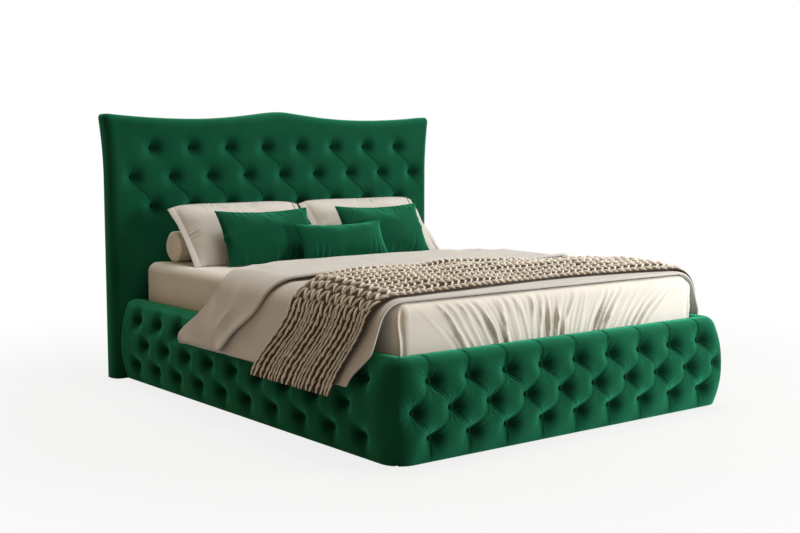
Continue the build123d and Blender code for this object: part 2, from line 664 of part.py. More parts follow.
def rounded_block(grow):
    """The mattress, grown on its top and sides, with rounded edges."""
    low = (mattress_low[0] - grow, mattress_low[1] - grow, mattress_low[2])
    high = (mattress_high[0] + grow, mattress_high[1] + grow, mattress_high[2] + grow)
    with BuildPart() as block:
        add(box(low, high))
        fillet(block.edges().filter_by(Axis.Z), radius=MATTRESS_EDGE + grow)
        fillet(block.faces().sort_by(Axis.Z)[-1].edges(), radius=MATTRESS_EDGE + grow - FIT)
    return block


mattress = rounded_block(0)
write(mattress, "mattress")
sheet_block = rounded_block(SHEET)
with BuildPart() as fitted_sheet:
    add(sheet_block.part)
    add(mattress.part, mode=Mode.SUBTRACT)
    add(box((-FAR, -FAR, -FAR), (FAR, FAR, MATTRESS_BOTTOM + SHEET_OPENING)), mode=Mode.SUBTRACT)
write(fitted_sheet, "fitted_sheet")

# Bedding that lies across the mattress and hangs outside the side pads:
# a flat top, a bend and a straight drop
BEND_X = MATTRESS_WIDTH / 2 - MATTRESS_EDGE
BEND_Z = SHEET_TOP + DRAPE_GAP - DRAPE_BEND
DROP_X = INNER_HALF + PAD_DEPTH + DROP_CLEARANCE
DROP_ANGLE = atan2(DUVET_HEM - BEND_Z, DROP_X - BEND_X) + acos(
    DRAPE_BEND / hypot(DUVET_HEM - BEND_Z, DROP_X - BEND_X)
)


def bend_point(radius, angle):
    return (BEND_X + radius * cos(angle), BEND_Z + radius * sin(angle))


def drop_point(radius, hem):
    """Where a layer's drop ends at the height of its hem."""
    start = bend_point(radius, DROP_ANGLE)
    run = (start[1] - hem) / cos(DROP_ANGLE)
    return (start[0] + run * sin(DROP_ANGLE), hem)


def drape(lift, thickness, hem, plan):
    """One layer of bedding, cut to its outline as seen from above."""
    inner = DRAPE_BEND + lift
    outer = inner + thickness
    bend = [(pi / 2 * (2 - i) + DROP_ANGLE * i) / 2 for i in range(3)]
    under = [bend_point(inner, angle) for angle in bend]
    over = [bend_point(outer, angle) for angle in bend]
    with BuildPart() as layer:
        with BuildSketch(Plane.XZ):
            with BuildLine():
                Line((0, BEND_Z + inner), under[0])
                ThreePointArc(*under)
                Polyline(under[2], drop_point(inner, hem), drop_point(outer, hem), over[2])
                ThreePointArc(*over)
                Polyline(over[0], (0, BEND_Z + outer), (0, BEND_Z + inner))
            make_face()
            mirror(about=Plane.YZ)
        extrude(amount=FAR, both=True)
        with BuildSketch(Plane.XY):
            with BuildLine():
                Polyline(*plan, close=True)
            make_face()
            mirror(about=Plane.YZ)
        extrude(amount=FAR, mode=Mode.INTERSECT)
    return layer.part


def fold(lift, hem, y):
    """A soft vertical fold on the right-hand drop of a layer whose outside is lifted this much."""
    radius = DRAPE_BEND + lift
    start = bend_point(radius, DROP_ANGLE)
    end = drop_point(radius, hem)
    run = Vector(end[0] - start[0], 0, end[1] - start[1])
    with BuildPart() as ridge:
        for point, share in ((start, FOLD_START), (end, 1)):
            with BuildSketch(Plane((point[0], y, point[1]), x_dir=(0, 1, 0), z_dir=run)):
                with BuildLine():
                    side = share * FOLD_WIDTH / 2
                    ThreePointArc((-side, 0), (0, share * FOLD_HEIGHT), (side, 0))
                    ThreePointArc((side, 0), (0, -share * FOLD_HEIGHT), (-side, 0))
                make_face()
        loft()
    return ridge.part


REACH = DROP_X + DRAPE_BEND
SHOULDER_X = bend_point(DRAPE_BEND, DROP_ANGLE)[0]
duvet_foot = FOOT_INNER + DUVET_FOOT_MARGIN
duvet_head = HEAD_FRONT - DUVET_HEAD_MARGIN
duvet_head_edge = [(REACH, duvet_head), (DROP_X, duvet_head), (SHOULDER_X, duvet_head - 2 * DUVET_SHOULDER),
                   (BEND_X, duvet_head - DUVET_SHOULDER), (BEND_X / 2, duvet_head), (0, duvet_head)]
duvet_foot_edge = [(0, duvet_foot), (SHOULDER_X, duvet_foot), (DROP_X, duvet_foot + DUVET_CORNER_CUT),
                   (REACH, duvet_foot + DUVET_CORNER_CUT)]
turn_foot = duvet_head - TURN_DOWN
under_layer = drape(0, DUVET, DUVET_HEM, duvet_foot_edge + duvet_head_edge)
turned_layer = drape(DUVET, DUVET, TURN_DOWN_HEM, [(0, turn_foot), (REACH, turn_foot)] + duvet_head_edge)
duvet_folds = [
    both_sides(fold(2 * DUVET, TURN_DOWN_HEM, duvet_head - share * TURN_DOWN)) for share in DUVET_FOLDS
]
with BuildPart() as duvet:
    add(under_layer)
    add(turned_layer)
    add(duvet_folds)
write(duvet, "duvet")

throw_head = turn_foot - THROW_GAP
throw_foot = FOOT_INNER + THROW_FOOT_MARGIN
throw_plan = [(0, throw_foot), (BEND_X / 2, throw_foot + THROW_WAVE), (SHOULDER_X, throw_foot - THROW_WAVE),
              (DROP_X, throw_foot + THROW_WAVE), (REACH, throw_foot + THROW_WAVE),
              (REACH, throw_head - THROW_WAVE), (DROP_X, throw_head - THROW_WAVE),
              (SHOULDER_X, throw_head - THROW_SLANT), (BEND_X, throw_head - THROW_SHOULDER), (0, throw_head)]
throw_lift = DUVET + LAYER_GAP
throw_layer = drape(throw_lift, THROW, THROW_HEM, throw_plan)
throw_fold_rows = [throw_foot + share * (throw_head - throw_foot) for share in THROW_FOLDS]
throw_folds = [both_sides(fold(throw_lift + THROW, THROW_HEM, y)) for y in throw_fold_rows]
with BuildPart() as throw:
    add(throw_layer)
    add(throw_folds)
write(throw, "throw")


# Cushions: crowned forms whose edges are drawn in between their corners
def leaning(x, forward, lean):
    """Plane of a cushion that stands on the mattress and leans back, with its foot at the plane's origin."""
    back = radians(lean)
    foot = (x, HEAD_FRONT - forward, SHEET_TOP + LEAN_REST_GAP)
    return Plane(foot, x_dir=(1, 0, 0), z_dir=(0, -cos(back), sin(back)))


def cushion_outline(plane, width, height, inset, bow):
    """Four arcs between the corners; a positive bow draws the edges in."""
    left, right = inset - width / 2, width / 2 - inset
    low, high = inset, height - inset
    with BuildSketch(plane) as outline:
        with BuildLine():
            ThreePointArc((left, low), (0, low + bow), (right, low))
            ThreePointArc((right, low), (right - bow, height / 2), (right, high))
            ThreePointArc((right, high), (0, high - bow), (left, high))
            ThreePointArc((left, high), (left + bow, height / 2), (left, low))
        make_face()
    return outline.sketch


def cushion(plane, width, height, thickness):
    half = thickness / 2
    sections = [
        cushion_outline(plane.offset(-half), width, height, FACE_INSET, -DRAWN_IN),
        cushion_outline(plane.offset(-half * 2 * CROWN_SHARE), width, height, CROWN_INSET, -DRAWN_IN / 2),
        cushion_outline(plane, width, height, 0, DRAWN_IN),
        cushion_outline(plane.offset(half * 2 * CROWN_SHARE), width, height, CROWN_INSET, -DRAWN_IN / 2),
        cushion_outline(plane.offset(half), width, height, FACE_INSET, -DRAWN_IN),
    ]
    with BuildPart() as body:
        loft(sections)
    return body


for name, x in (("left", -PILLOW_OUT), ("right", PILLOW_OUT)):
    stand = leaning(x, PILLOW_FORWARD, PILLOW_LEAN)
    body_stand = Plane(stand.from_local_coords((0, PILLOW_FLANGE, 0)), x_dir=stand.x_dir, z_dir=stand.z_dir)
    body_width = PILLOW_WIDTH - 2 * PILLOW_FLANGE
    body_height = PILLOW_HEIGHT - 2 * PILLOW_FLANGE
    body = cushion(body_stand, body_width, body_height, PILLOW_THICKNESS)
    flange = cushion_outline(stand, PILLOW_WIDTH, PILLOW_HEIGHT, 0, DRAWN_IN)
    with BuildPart() as pillow:
        add(body.part)
        extrude(flange, amount=FLANGE_CLOTH / 2, both=True)
    write(pillow, f"pillow_{name}")

for name, x in (("left", CUSHION_LEFT), ("right", CUSHION_RIGHT)):
    stand = leaning(x, CUSHION_FORWARD, SLIDE_LEAN)
    write(cushion(stand, CUSHION_WIDTH, CUSHION_HEIGHT, CUSHION_THICKNESS), f"cushion_{name}")
lumbar_stand = leaning(LUMBAR_ACROSS, LUMBAR_FORWARD, SLIDE_LEAN)
write(cushion(lumbar_stand, LUMBAR_WIDTH, LUMBAR_HEIGHT, LUMBAR_THICKNESS), "lumbar_cushion")

with BuildPart() as bolster:
    with BuildSketch(Plane.YZ):
        with Locations((HEAD_FRONT - BOLSTER_FORWARD, SHEET_TOP + REST_GAP + BOLSTER_RADIUS)):
            Circle(BOLSTER_RADIUS)
    extrude(amount=BOLSTER_LENGTH / 2, both=True)
    fillet(bolster.edges().filter_by(GeomType.CIRCLE), radius=BOLSTER_EDGE)
write(bolster, "bolster")
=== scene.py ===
"""Looks of a dressed upholstered bed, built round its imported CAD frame.

Everything is in metres in the frame's own axes: +X to the right as seen from the foot,
+Y towards the head, +Z up, with the origin on the floor under the middle of the bed.
"""
import logging
from dataclasses import dataclass, field
from enum import Enum
from functools import partial
from typing import Callable, Optional, Sequence

import bpy
import numpy as np
from mathutils import Euler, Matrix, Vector


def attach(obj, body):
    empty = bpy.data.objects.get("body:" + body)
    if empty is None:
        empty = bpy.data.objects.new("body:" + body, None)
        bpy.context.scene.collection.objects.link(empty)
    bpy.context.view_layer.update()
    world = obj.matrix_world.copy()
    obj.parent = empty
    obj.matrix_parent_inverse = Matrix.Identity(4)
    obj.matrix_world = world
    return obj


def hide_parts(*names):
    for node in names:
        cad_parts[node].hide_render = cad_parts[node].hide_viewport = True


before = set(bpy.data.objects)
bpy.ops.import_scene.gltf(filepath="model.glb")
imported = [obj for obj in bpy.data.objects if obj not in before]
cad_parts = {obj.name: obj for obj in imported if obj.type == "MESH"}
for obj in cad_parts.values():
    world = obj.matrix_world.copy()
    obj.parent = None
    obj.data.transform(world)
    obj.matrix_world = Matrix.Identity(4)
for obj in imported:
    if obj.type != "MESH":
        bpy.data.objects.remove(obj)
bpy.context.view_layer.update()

LOG = logging.getLogger("bed")
Array = np.ndarray
Colour = tuple[float, float, float]
Place = tuple[float, float, float]
Piece = bpy.types.Object
Tree = bpy.types.NodeTree
Node = bpy.types.Node
Socket = bpy.types.NodeSocket
LATTICE_SIDE = 61


# Grids, noise and meshes


def ease(value: Array, low: float, high: float) -> Array:
    """Smooth step from 0 at low to 1 at high: 3t^2 - 2t^3."""
    t = np.clip((value - low) / (high - low), 0.0, 1.0)
    return t * t * (3 - 2 * t)


def window(value: Array, ends: tuple[float, float, float, float]) -> Array:
    """1 between the middle two of four values, easing to 0 at the outer two."""
    return ease(value, ends[0], ends[1]) * (1 - ease(value, ends[2], ends[3]))


def bump(value: Array, middle: float | Array, width: float | Array) -> Array:
    """Bell curve exp(-((value - middle) / width)^2)."""
    return np.exp(-(((value - middle) / width) ** 2))


def noise(u: Array, v: Array, seed: int) -> Array:
    """Smooth noise between -1 and 1.

    Random numbers stand on a whole-number lattice, and each point eases between its four neighbours.

    Args:
        u: First coordinate, one lattice step per unit.
        v: Second coordinate.
        seed: Picks the lattice.

    Returns:
        One value for each point.
    """
    lattice = np.random.default_rng(seed).uniform(-1, 1, (LATTICE_SIDE, LATTICE_SIDE))
    i, j = np.floor(u).astype(int), np.floor(v).astype(int)
    s, t = ease(u - i, 0, 1), ease(v - j, 0, 1)
    left, below = i % LATTICE_SIDE, j % LATTICE_SIDE
    right, above = (i + 1) % LATTICE_SIDE, (j + 1) % LATTICE_SIDE
    near = lattice[left, below] * (1 - s) + lattice[right, below] * s
    far = lattice[left, above] * (1 - s) + lattice[right, above] * s
    return near * (1 - t) + far * t


def run_length(*coordinates: Array) -> Array:
    """Distance along a line of points from its start, given each coordinate as a row."""
    steps = np.sqrt(sum(np.diff(row) ** 2 for row in coordinates))
    return np.concatenate([[0], np.cumsum(steps)])


def grid_faces(rows: int, columns: int, closed: bool = False) -> Array:
    """Quads between the points of a grid stored row by row.

    Args:
        rows: Number of rows of points.
        columns: Points in each row.
        closed: Whether each row joins its own start.

    Returns:
        Face indices, one row of four for each quad.
    """
    row = np.arange(rows - 1)[:, None] * columns
    start = np.arange(columns if closed else columns - 1)[None, :]
    after = (start + 1) % columns
    quads = np.stack([row + start, row + after, row + columns + after, row + columns + start], axis=-1)
    return quads.reshape(-1, 4)


def grid_normals(points: Array) -> Array:
    """Unit normals of a grid of points: across the row crossed with up the column.

    Args:
        points: Grid of places, shaped (rows, columns, 3).

    Returns:
        Normals of the same shape.
    """
    normal = np.cross(np.gradient(points, axis=1), np.gradient(points, axis=0))
    return normal / np.maximum(np.linalg.norm(normal, axis=-1, keepdims=True), 1e-12)


def with_rim(points: Array, faces: Array,
             rings: Sequence[Callable[[Array], Array]]) -> tuple[Array, Array]:
    """Continue a sheet past its open edge with more rings of points.

    An edge that only one face uses is on the rim. Each ring takes the rim's points and moves them, and quads
    join one ring to the next.

    Args:
        points: Places, shaped (n, 3).
        faces: Quads of the sheet.
        rings: One function for each ring, from rim places to the ring's places.

    Returns:
        The places and faces of sheet and rim together.
    """
    pairs = np.concatenate([faces[:, [k, (k + 1) % 4]] for k in range(4)])
    code = pairs[:, 0] * len(points) + pairs[:, 1]
    back = pairs[:, 1] * len(points) + pairs[:, 0]
    rim_edges = pairs[~np.isin(code, back)]
    rim = np.unique(rim_edges)
    local = np.searchsorted(rim, rim_edges)
    places, quads = [points], [faces]
    inner = rim_edges
    for count, ring in enumerate(rings):
        outer = len(points) + count * len(rim) + local
        places.append(ring(points[rim]))
        quads.append(np.stack([inner[:, 1], inner[:, 0], outer[:, 0], outer[:, 1]], axis=-1))
        inner = outer
    return np.concatenate(places), np.concatenate(quads)


def used_only(points: Array, faces: Array) -> tuple[Array, Array]:
    """Drop the points that no face uses.

    Args:
        points: Places and any values that go with them, one row each.
        faces: Face indices.

    Returns:
        The rows that are used, and the faces renumbered to them.
    """
    used, renumbered = np.unique(faces, return_inverse=True)
    return points[used], renumbered.reshape(faces.shape)


def make_mesh(name: str, points: Array, faces: Array, uv: Optional[Array] = None,
              painted_shade: Optional[Array] = None) -> Piece:
    """Put an array shape into a new smooth-shaded object at the origin.

    Args:
        name: Name of the piece.
        points: Places, with three coordinates each.
        faces: Face indices.
        uv: Places on the flat cloth for each point, in metres.
        painted_shade: Painted shade at each point, from 0 to 1, darkest in and beside the tufts and pleats.

    Returns:
        The new object.
    """
    mesh = bpy.data.meshes.new(name)
    mesh.from_pydata(points.reshape(-1, 3).tolist(), [], faces.tolist())
    mesh.polygons.foreach_set("use_smooth", np.ones(len(mesh.polygons), dtype=bool))
    if uv is not None:
        corner = np.empty(len(mesh.loops), dtype=np.int32)
        mesh.loops.foreach_get("vertex_index", corner)
        layer = mesh.uv_layers.new(name="cloth")
        layer.data.foreach_set("uv", uv.reshape(-1, 2)[corner].astype(np.float32).ravel())
    # Painted shade: a point attribute that darkens the velvet's colour in its tufts and pleats.
    if painted_shade is not None:
        layer = mesh.attributes.new("painted_shade", "FLOAT", "POINT")
        layer.data.foreach_set("value", painted_shade.astype(np.float32).ravel())
    mesh.update()
    piece = bpy.data.objects.new(name, mesh)
    bpy.context.scene.collection.objects.link(piece)
    return piece


def thicken(piece: Piece, thickness: float) -> None:
    """Give a sheet a thickness outwards, with a rim round its edge.

    Args:
        piece: The sheet.
        thickness: How thick it becomes.
    """
    solid = piece.modifiers.new("thickness", "SOLIDIFY")
    solid.thickness = thickness
    solid.offset = 1.0
    solid.use_even_offset = True


def subdivide(piece: Piece) -> None:
    """Add one level of subdivision surface, in view and in render."""
    smooth = piece.modifiers.new("smooth", "SUBSURF")
    smooth.levels = smooth.render_levels = 1


def declare(piece: Piece, body: str, nodes: Sequence[str]) -> None:
    """Attach a piece to the body it moves with, hide the CAD nodes that it stands for, and report it.

    Args:
        piece: The piece.
        body: Body that it rides on.
        nodes: CAD nodes that it replaces.
    """
    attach(piece, body)
    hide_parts(*nodes)
    LOG.info("%s: %d faces", piece.name, len(piece.data.polygons))


# Shader nodes


def feed(tree: Tree, slot: Socket, value: object) -> None:
    """Link a socket to an input, or store a plain value in it.

    Args:
        tree: Node tree of both.
        slot: The input.
        value: Output socket of another node, or a value.
    """
    if isinstance(value, bpy.types.NodeSocket):
        tree.links.new(value, slot)
    else:
        slot.default_value = value


def set_inputs(tree: Tree, node: Node, **inputs: object) -> Node:
    """Feed a node's inputs by name.

    Args:
        tree: The node's tree.
        node: The node.
        inputs: Socket or value for each input, with underscores for spaces in its name.

    Returns:
        The same node.
    """
    for name, value in inputs.items():
        feed(tree, node.inputs[name.replace("_", " ")], value)
    return node


def add_node(tree: Tree, kind: str, **inputs: object) -> Node:
    """Add a shader node and feed its inputs by name."""
    return set_inputs(tree, tree.nodes.new("ShaderNode" + kind), **inputs)


def math_node(tree: Tree, operation: str, first: object, second: object) -> Socket:
    """A Math node between two sockets or numbers.

    Args:
        tree: Node tree to add to.
        operation: Blender's name of the operation.
        first: First socket or number.
        second: Second socket or number.

    Returns:
        The node's output socket.
    """
    node = tree.nodes.new("ShaderNodeMath")
    node.operation = operation
    for slot, value in zip(node.inputs, (first, second)):
        feed(tree, slot, value)
    return node.outputs[0]


def colour_ramp(tree: Tree, factor: Socket, dark: Colour, light: Colour, low: float, high: float) -> Socket:
    """A Color Ramp from dark at the low factor to light at the high one.

    Args:
        tree: Node tree to add to.
        factor: Socket that picks the colour.
        dark: First colour.
        light: Second colour.
        low: Factor up to which the colour is dark.
        high: Factor from which it is light.

    Returns:
        The ramp's colour socket.
    """
    node = add_node(tree, "ValToRGB", Fac=factor)
    for stop, position, colour in zip(node.color_ramp.elements, (low, high), (dark, light)):
        stop.position = position
        stop.color = (*colour, 1.0)
    return node.outputs["Color"]


def emboss(tree: Tree, shader: Node, height: Socket, strength: float, distance: float) -> None:
    """Send a height into a shader's normal through a Bump node."""
    relief = add_node(tree, "Bump", Strength=strength, Distance=distance, Height=height)
    set_inputs(tree, shader, Normal=relief.outputs["Normal"])


def start_material(name: str) -> tuple[bpy.types.Material, Tree, Node]:
    """Start a material.

    Args:
        name: Name of the material.

    Returns:
        The material, its node tree and its Principled shader.
    """
    material = bpy.data.materials.new(name)
    material.use_nodes = True
    return material, material.node_tree, material.node_tree.nodes["Principled BSDF"]


def new_group(name: str, inputs: Sequence[str], outputs: Sequence[str]) -> Tree:
    """Start a shader node group whose sockets are values, apart from the vector named Vector.

    Args:
        name: Name of the group.
        inputs: Names of the inputs.
        outputs: Names of the outputs.

    Returns:
        The group, with its input and output nodes in place.
    """
    group = bpy.data.node_groups.new(name, "ShaderNodeTree")
    for in_out, labels in (("INPUT", inputs), ("OUTPUT", outputs)):
        for label in labels:
            kind = "NodeSocketVector" if label == "Vector" else "NodeSocketFloat"
            group.interface.new_socket(label, in_out=in_out, socket_type=kind)
    group.nodes.new("NodeGroupInput").name = "in"
    group.nodes.new("NodeGroupOutput").name = "out"
    return group


def use_group(tree: Tree, group: Tree, **inputs: object) -> bpy.types.NodeOutputs:
    """Place a node group with its inputs fed.

    Args:
        tree: Node tree to add to.
        group: The group.
        inputs: Socket or value for each input.

    Returns:
        The outputs of the placed group.
    """
    node = tree.nodes.new("ShaderNodeGroup")
    node.node_tree = group
    return set_inputs(tree, node, **inputs).outputs


def build_cloth_group() -> Tree:
    """Cloth surface: broad mottling as Shade, and fine fibre with woven threads as Height.

    Shade is noise at the Mottle scale. Height is the product of sine waves along the axes at the Thread
    scale, mixed with fine noise by Fibre.

    Returns:
        The node group.
    """
    group = new_group("cloth_surface", ("Vector", "Mottle", "Thread", "Fibre"), ("Shade", "Height"))
    source = group.nodes["in"].outputs
    place, thread = source["Vector"], source["Thread"]
    mottle = add_node(group, "TexNoise", Vector=place, Scale=source["Mottle"], Detail=3.0, Roughness=0.5)
    fibre = add_node(group, "TexNoise", Vector=place, Scale=thread, Detail=2.0, Roughness=0.6)
    split = add_node(group, "SeparateXYZ", Vector=place)
    waves = [math_node(group, "SINE", math_node(group, "MULTIPLY", axis, thread), 0.0)
             for axis in split.outputs]
    woven = math_node(group, "MULTIPLY", waves[0], math_node(group, "ADD", waves[1], waves[2]))
    blend = add_node(group, "Mix", Factor=source["Fibre"], A=math_node(group, "MULTIPLY_ADD", woven, 0.25),
                     B=fibre.outputs["Fac"])
    set_inputs(group, group.nodes["out"], Shade=mottle.outputs["Fac"], Height=blend.outputs["Result"])
    return group


def build_grain_group() -> Tree:
    """Wood grain: streaks along one axis as Shade, and their pores as Height.

    The coordinates come squeezed along the grain. Broad noise on them is joined by a second, finer noise:
    added for Shade, multiplied for Height.

    Returns:
        The node group.
    """
    group = new_group("wood_grain", ("Vector", "Scale"), ("Shade", "Height"))
    source = group.nodes["in"].outputs
    place, scale = source["Vector"], source["Scale"]
    broad = add_node(group, "TexNoise", Vector=place, Scale=scale, Detail=4.0, Roughness=0.6,
                     Distortion=0.6).outputs["Fac"]
    fine = add_node(group, "TexNoise", Vector=place, Scale=math_node(group, "MULTIPLY", scale, 5.0),
                    Detail=2.0, Roughness=0.5).outputs["Fac"]
    set_inputs(group, group.nodes["out"], Height=math_node(group, "MULTIPLY", broad, fine),
               Shade=math_node(group, "ADD", broad, math_node(group, "MULTIPLY", fine, 0.3)))
    return group


# Finishes


class Weave(Enum):
    """How a cloth's surface is made, as the share of loose fibre in it."""

    PILE = 1.0
    PLAIN = 0.35
    YARN = 0.8


@dataclass(frozen=True)
class ClothFinish:
    """A cloth: two colours that its mottling mixes, its gloss and the fineness of its surface."""

    name: str
    dark: Colour
    light: Colour
    weave: Weave
    roughness: float = 0.85
    sheen: float = 0.1
    sheen_roughness: float = 0.4
    sheen_tint: Colour = (1.0, 1.0, 1.0)
    specular: float = 0.2
    specular_tint: Colour = (1.0, 1.0, 1.0)
    mottle: float = 6.0
    thread: float = 1500.0
    relief: float = 0.0006
    relief_strength: float = 0.6
    on_uv: bool = False
    # The next two fields paint shade into the colour where a mesh marks it: how strongly, and how dark
    # against the dark colour.
    painted_shade_share: float = 0.0
    painted_shade_dark: float = 0.1

    def build(self, surface: Tree) -> bpy.types.Material:
        """Make the material.

        Args:
            surface: The cloth surface group.

        Returns:
            The new material.
        """
        material, tree, shader = start_material(self.name)
        place = add_node(tree, "TexCoord").outputs["UV" if self.on_uv else "Object"]
        cloth = use_group(tree, surface, Vector=place, Mottle=self.mottle, Thread=self.thread,
                          Fibre=self.weave.value)
        paint = colour_ramp(tree, cloth["Shade"], self.dark, self.light, 0.3, 0.7)
        # Painted shade in tufts and pleats, read from the mesh.
        if self.painted_shade_share:
            paint = self.shaded(tree, paint)
        set_inputs(tree, shader, Base_Color=paint, Roughness=self.roughness, Specular_IOR_Level=self.specular,
                   Specular_Tint=(*self.specular_tint, 1.0), Sheen_Weight=self.sheen,
                   Sheen_Roughness=self.sheen_roughness, Sheen_Tint=(*self.sheen_tint, 1.0))
        emboss(tree, shader, cloth["Height"], self.relief_strength, self.relief)
        return material

    def shaded(self, tree: Tree, paint: Socket) -> Socket:
        """Paint shade into a colour: darken it by the mesh's painted shade attribute in and beside tufts and
        pleats.

        Args:
            tree: The material's node tree.
            paint: Socket of the colour.

        Returns:
            Socket of the darkened colour.
        """
        painted_shade = add_node(tree, "Attribute")
        painted_shade.attribute_name = "painted_shade"
        mix = tree.nodes.new("ShaderNodeMix")
        mix.data_type = "RGBA"
        factor, first, second = mix.inputs[0], mix.inputs[6], mix.inputs[7]
        feed(tree, factor, math_node(tree, "MULTIPLY", painted_shade.outputs["Fac"], self.painted_shade_share))
        feed(tree, first, paint)
        feed(tree, second, (*(self.painted_shade_dark * part for part in self.dark), 1.0))
        return mix.outputs[2]


@dataclass(frozen=True)
class WoodFinish:
    """Bare timber or board: two grain colours and the way the grain runs."""

    name: str
    dark: Colour
    light: Colour
    stretch: Place
    scale: float = 30.0
    roughness: float = 0.6
    relief: float = 0.0008
    relief_strength: float = 0.4

    def build(self, grain: Tree) -> bpy.types.Material:
        """Make the material.

        Args:
            grain: The wood grain group.

        Returns:
            The new material.
        """
        material, tree, shader = start_material(self.name)
        place = add_node(tree, "TexCoord").outputs["Object"]
        squeezed = add_node(tree, "Mapping", Vector=place, Scale=self.stretch).outputs["Vector"]
        wood = use_group(tree, grain, Vector=squeezed, Scale=self.scale)
        paint = colour_ramp(tree, wood["Shade"], self.dark, self.light, 0.45, 0.85)
        set_inputs(tree, shader, Base_Color=paint, Roughness=self.roughness)
        emboss(tree, shader, wood["Height"], self.relief_strength, self.relief)
        return material


@dataclass(frozen=True)
class HardFinish:
    """Zinc-plated steel or moulded plastic: one colour with clouding in its gloss."""

    name: str
    dark: Colour
    light: Colour
    metallic: float
    roughness_low: float
    roughness_high: float
    scale: float = 120.0

    def build(self) -> bpy.types.Material:
        """Make the material.

        Returns:
            The new material.
        """
        material, tree, shader = start_material(self.name)
        place = add_node(tree, "TexCoord").outputs["Object"]
        cloud = add_node(tree, "TexNoise", Vector=place, Scale=self.scale, Detail=3.0,
                         Roughness=0.55).outputs["Fac"]
        paint = colour_ramp(tree, cloud, self.dark, self.light, 0.0, 1.0)
        gloss = add_node(tree, "MapRange", Value=cloud, To_Min=self.roughness_low, To_Max=self.roughness_high)
        set_inputs(tree, shader, Base_Color=paint, Metallic=self.metallic, Roughness=gloss.outputs["Result"])
        return material


PILE_GLOSS = (0.02, 1.0, 0.45)
PILE_GLOW = (0.12, 1.0, 0.58)
PINE_COLOURS = (0.5, 0.33, 0.17), (0.7, 0.52, 0.32)
# The bed's velvet takes painted shade in its tufts and pleats.
VELVET = ClothFinish("bottle_green_velvet", (0.004, 0.046, 0.0215), (0.0055, 0.062, 0.0295), Weave.PILE,
                     roughness=0.6, sheen=0.62, sheen_roughness=0.5, sheen_tint=PILE_GLOW, specular=0.0,
                     mottle=5.0, thread=900.0, relief=0.0007, painted_shade_share=0.93)
# Painted shade: a much darker copy of the bed's velvet on the buttons, which sit in the shade of the tuft
# hollows.
BUTTON_PAINTED_SHADE = ClothFinish("button_velvet", (0.0004, 0.009, 0.004), (0.0006, 0.013, 0.006), Weave.PILE,
                            roughness=0.7, sheen=0.15, sheen_tint=PILE_GLOW, specular=0.1,
                            specular_tint=PILE_GLOSS, mottle=30.0, thread=1200.0)
CUSHION_VELVET = ClothFinish("cushion_velvet", (0.003, 0.034, 0.016), (0.004, 0.046, 0.0215), Weave.PILE,
                             roughness=0.55, sheen=0.56, sheen_roughness=0.5, sheen_tint=PILE_GLOW,
                             specular=0.0, mottle=9.0, thread=900.0)
# The sheet's cotton is its own off-white, lightened with painted light so that its shaded side stays bright.
SHEET_COTTON = ClothFinish("sheet_cotton_with_painted_light", (0.67, 0.67, 0.627), (0.72, 0.72, 0.677), Weave.PLAIN, sheen=0.08,
                           thread=2600.0, relief=0.0004, on_uv=True)
DUVET_COTTON = ClothFinish("duvet_cotton", (0.505, 0.505, 0.485), (0.555, 0.555, 0.535), Weave.PLAIN,
                           thread=2600.0, relief=0.0004, on_uv=True)
PILLOW_COTTON = ClothFinish("pillow_cotton", (0.5, 0.495, 0.465), (0.55, 0.545, 0.515), Weave.PLAIN,
                            thread=2600.0, relief=0.0004)
# The bolster's cotton is lighter than the pillows' with painted light, for the shade it lies in.
BOLSTER_COTTON = ClothFinish("bolster_cotton", (0.83, 0.8, 0.74), (0.87, 0.84, 0.78), Weave.PLAIN,
                             thread=2600.0, relief=0.0004)
KNIT_YARN = ClothFinish("cream_yarn", (0.6, 0.57, 0.49), (0.88, 0.86, 0.79), Weave.YARN, sheen=0.25,
                        mottle=60.0, thread=700.0, relief=0.002)
# Painted shade: a dark sheet under the stitches stands for the shade in the knit's gaps.
KNIT_SHADE = ClothFinish("knit_gap_shade", (0.034, 0.022, 0.012), (0.062, 0.04, 0.022), Weave.YARN, mottle=40.0,
                         thread=500.0, relief=0.002, on_uv=True)
TICKING = ClothFinish("mattress_ticking", (0.72, 0.7, 0.66), (0.8, 0.78, 0.74), Weave.PLAIN)
BACK_CLOTH = ClothFinish("back_lining", (0.007, 0.057, 0.032), (0.008, 0.063, 0.036), Weave.PLAIN,
                         roughness=0.9, sheen=0.05, thread=1800.0)
PINE = WoodFinish("planed_pine", *PINE_COLOURS, (1.0, 0.06, 1.0))
CROSS_PINE = WoodFinish("planed_pine_across", *PINE_COLOURS, (0.06, 1.0, 1.0))
UPRIGHT_PINE = WoodFinish("planed_pine_upright", *PINE_COLOURS, (1.0, 1.0, 0.06))
PLYWOOD = WoodFinish("plywood", (0.48, 0.33, 0.19), (0.66, 0.5, 0.33), (0.08, 0.08, 1.0), 40.0)
ZINC = HardFinish("zinc_plate", (0.5, 0.5, 0.48), (0.66, 0.66, 0.63), 1.0, 0.28, 0.5)
GLIDE_PLASTIC = HardFinish("glide_plastic", (0.02, 0.02, 0.02), (0.035, 0.035, 0.035), 0.0, 0.5, 0.7)


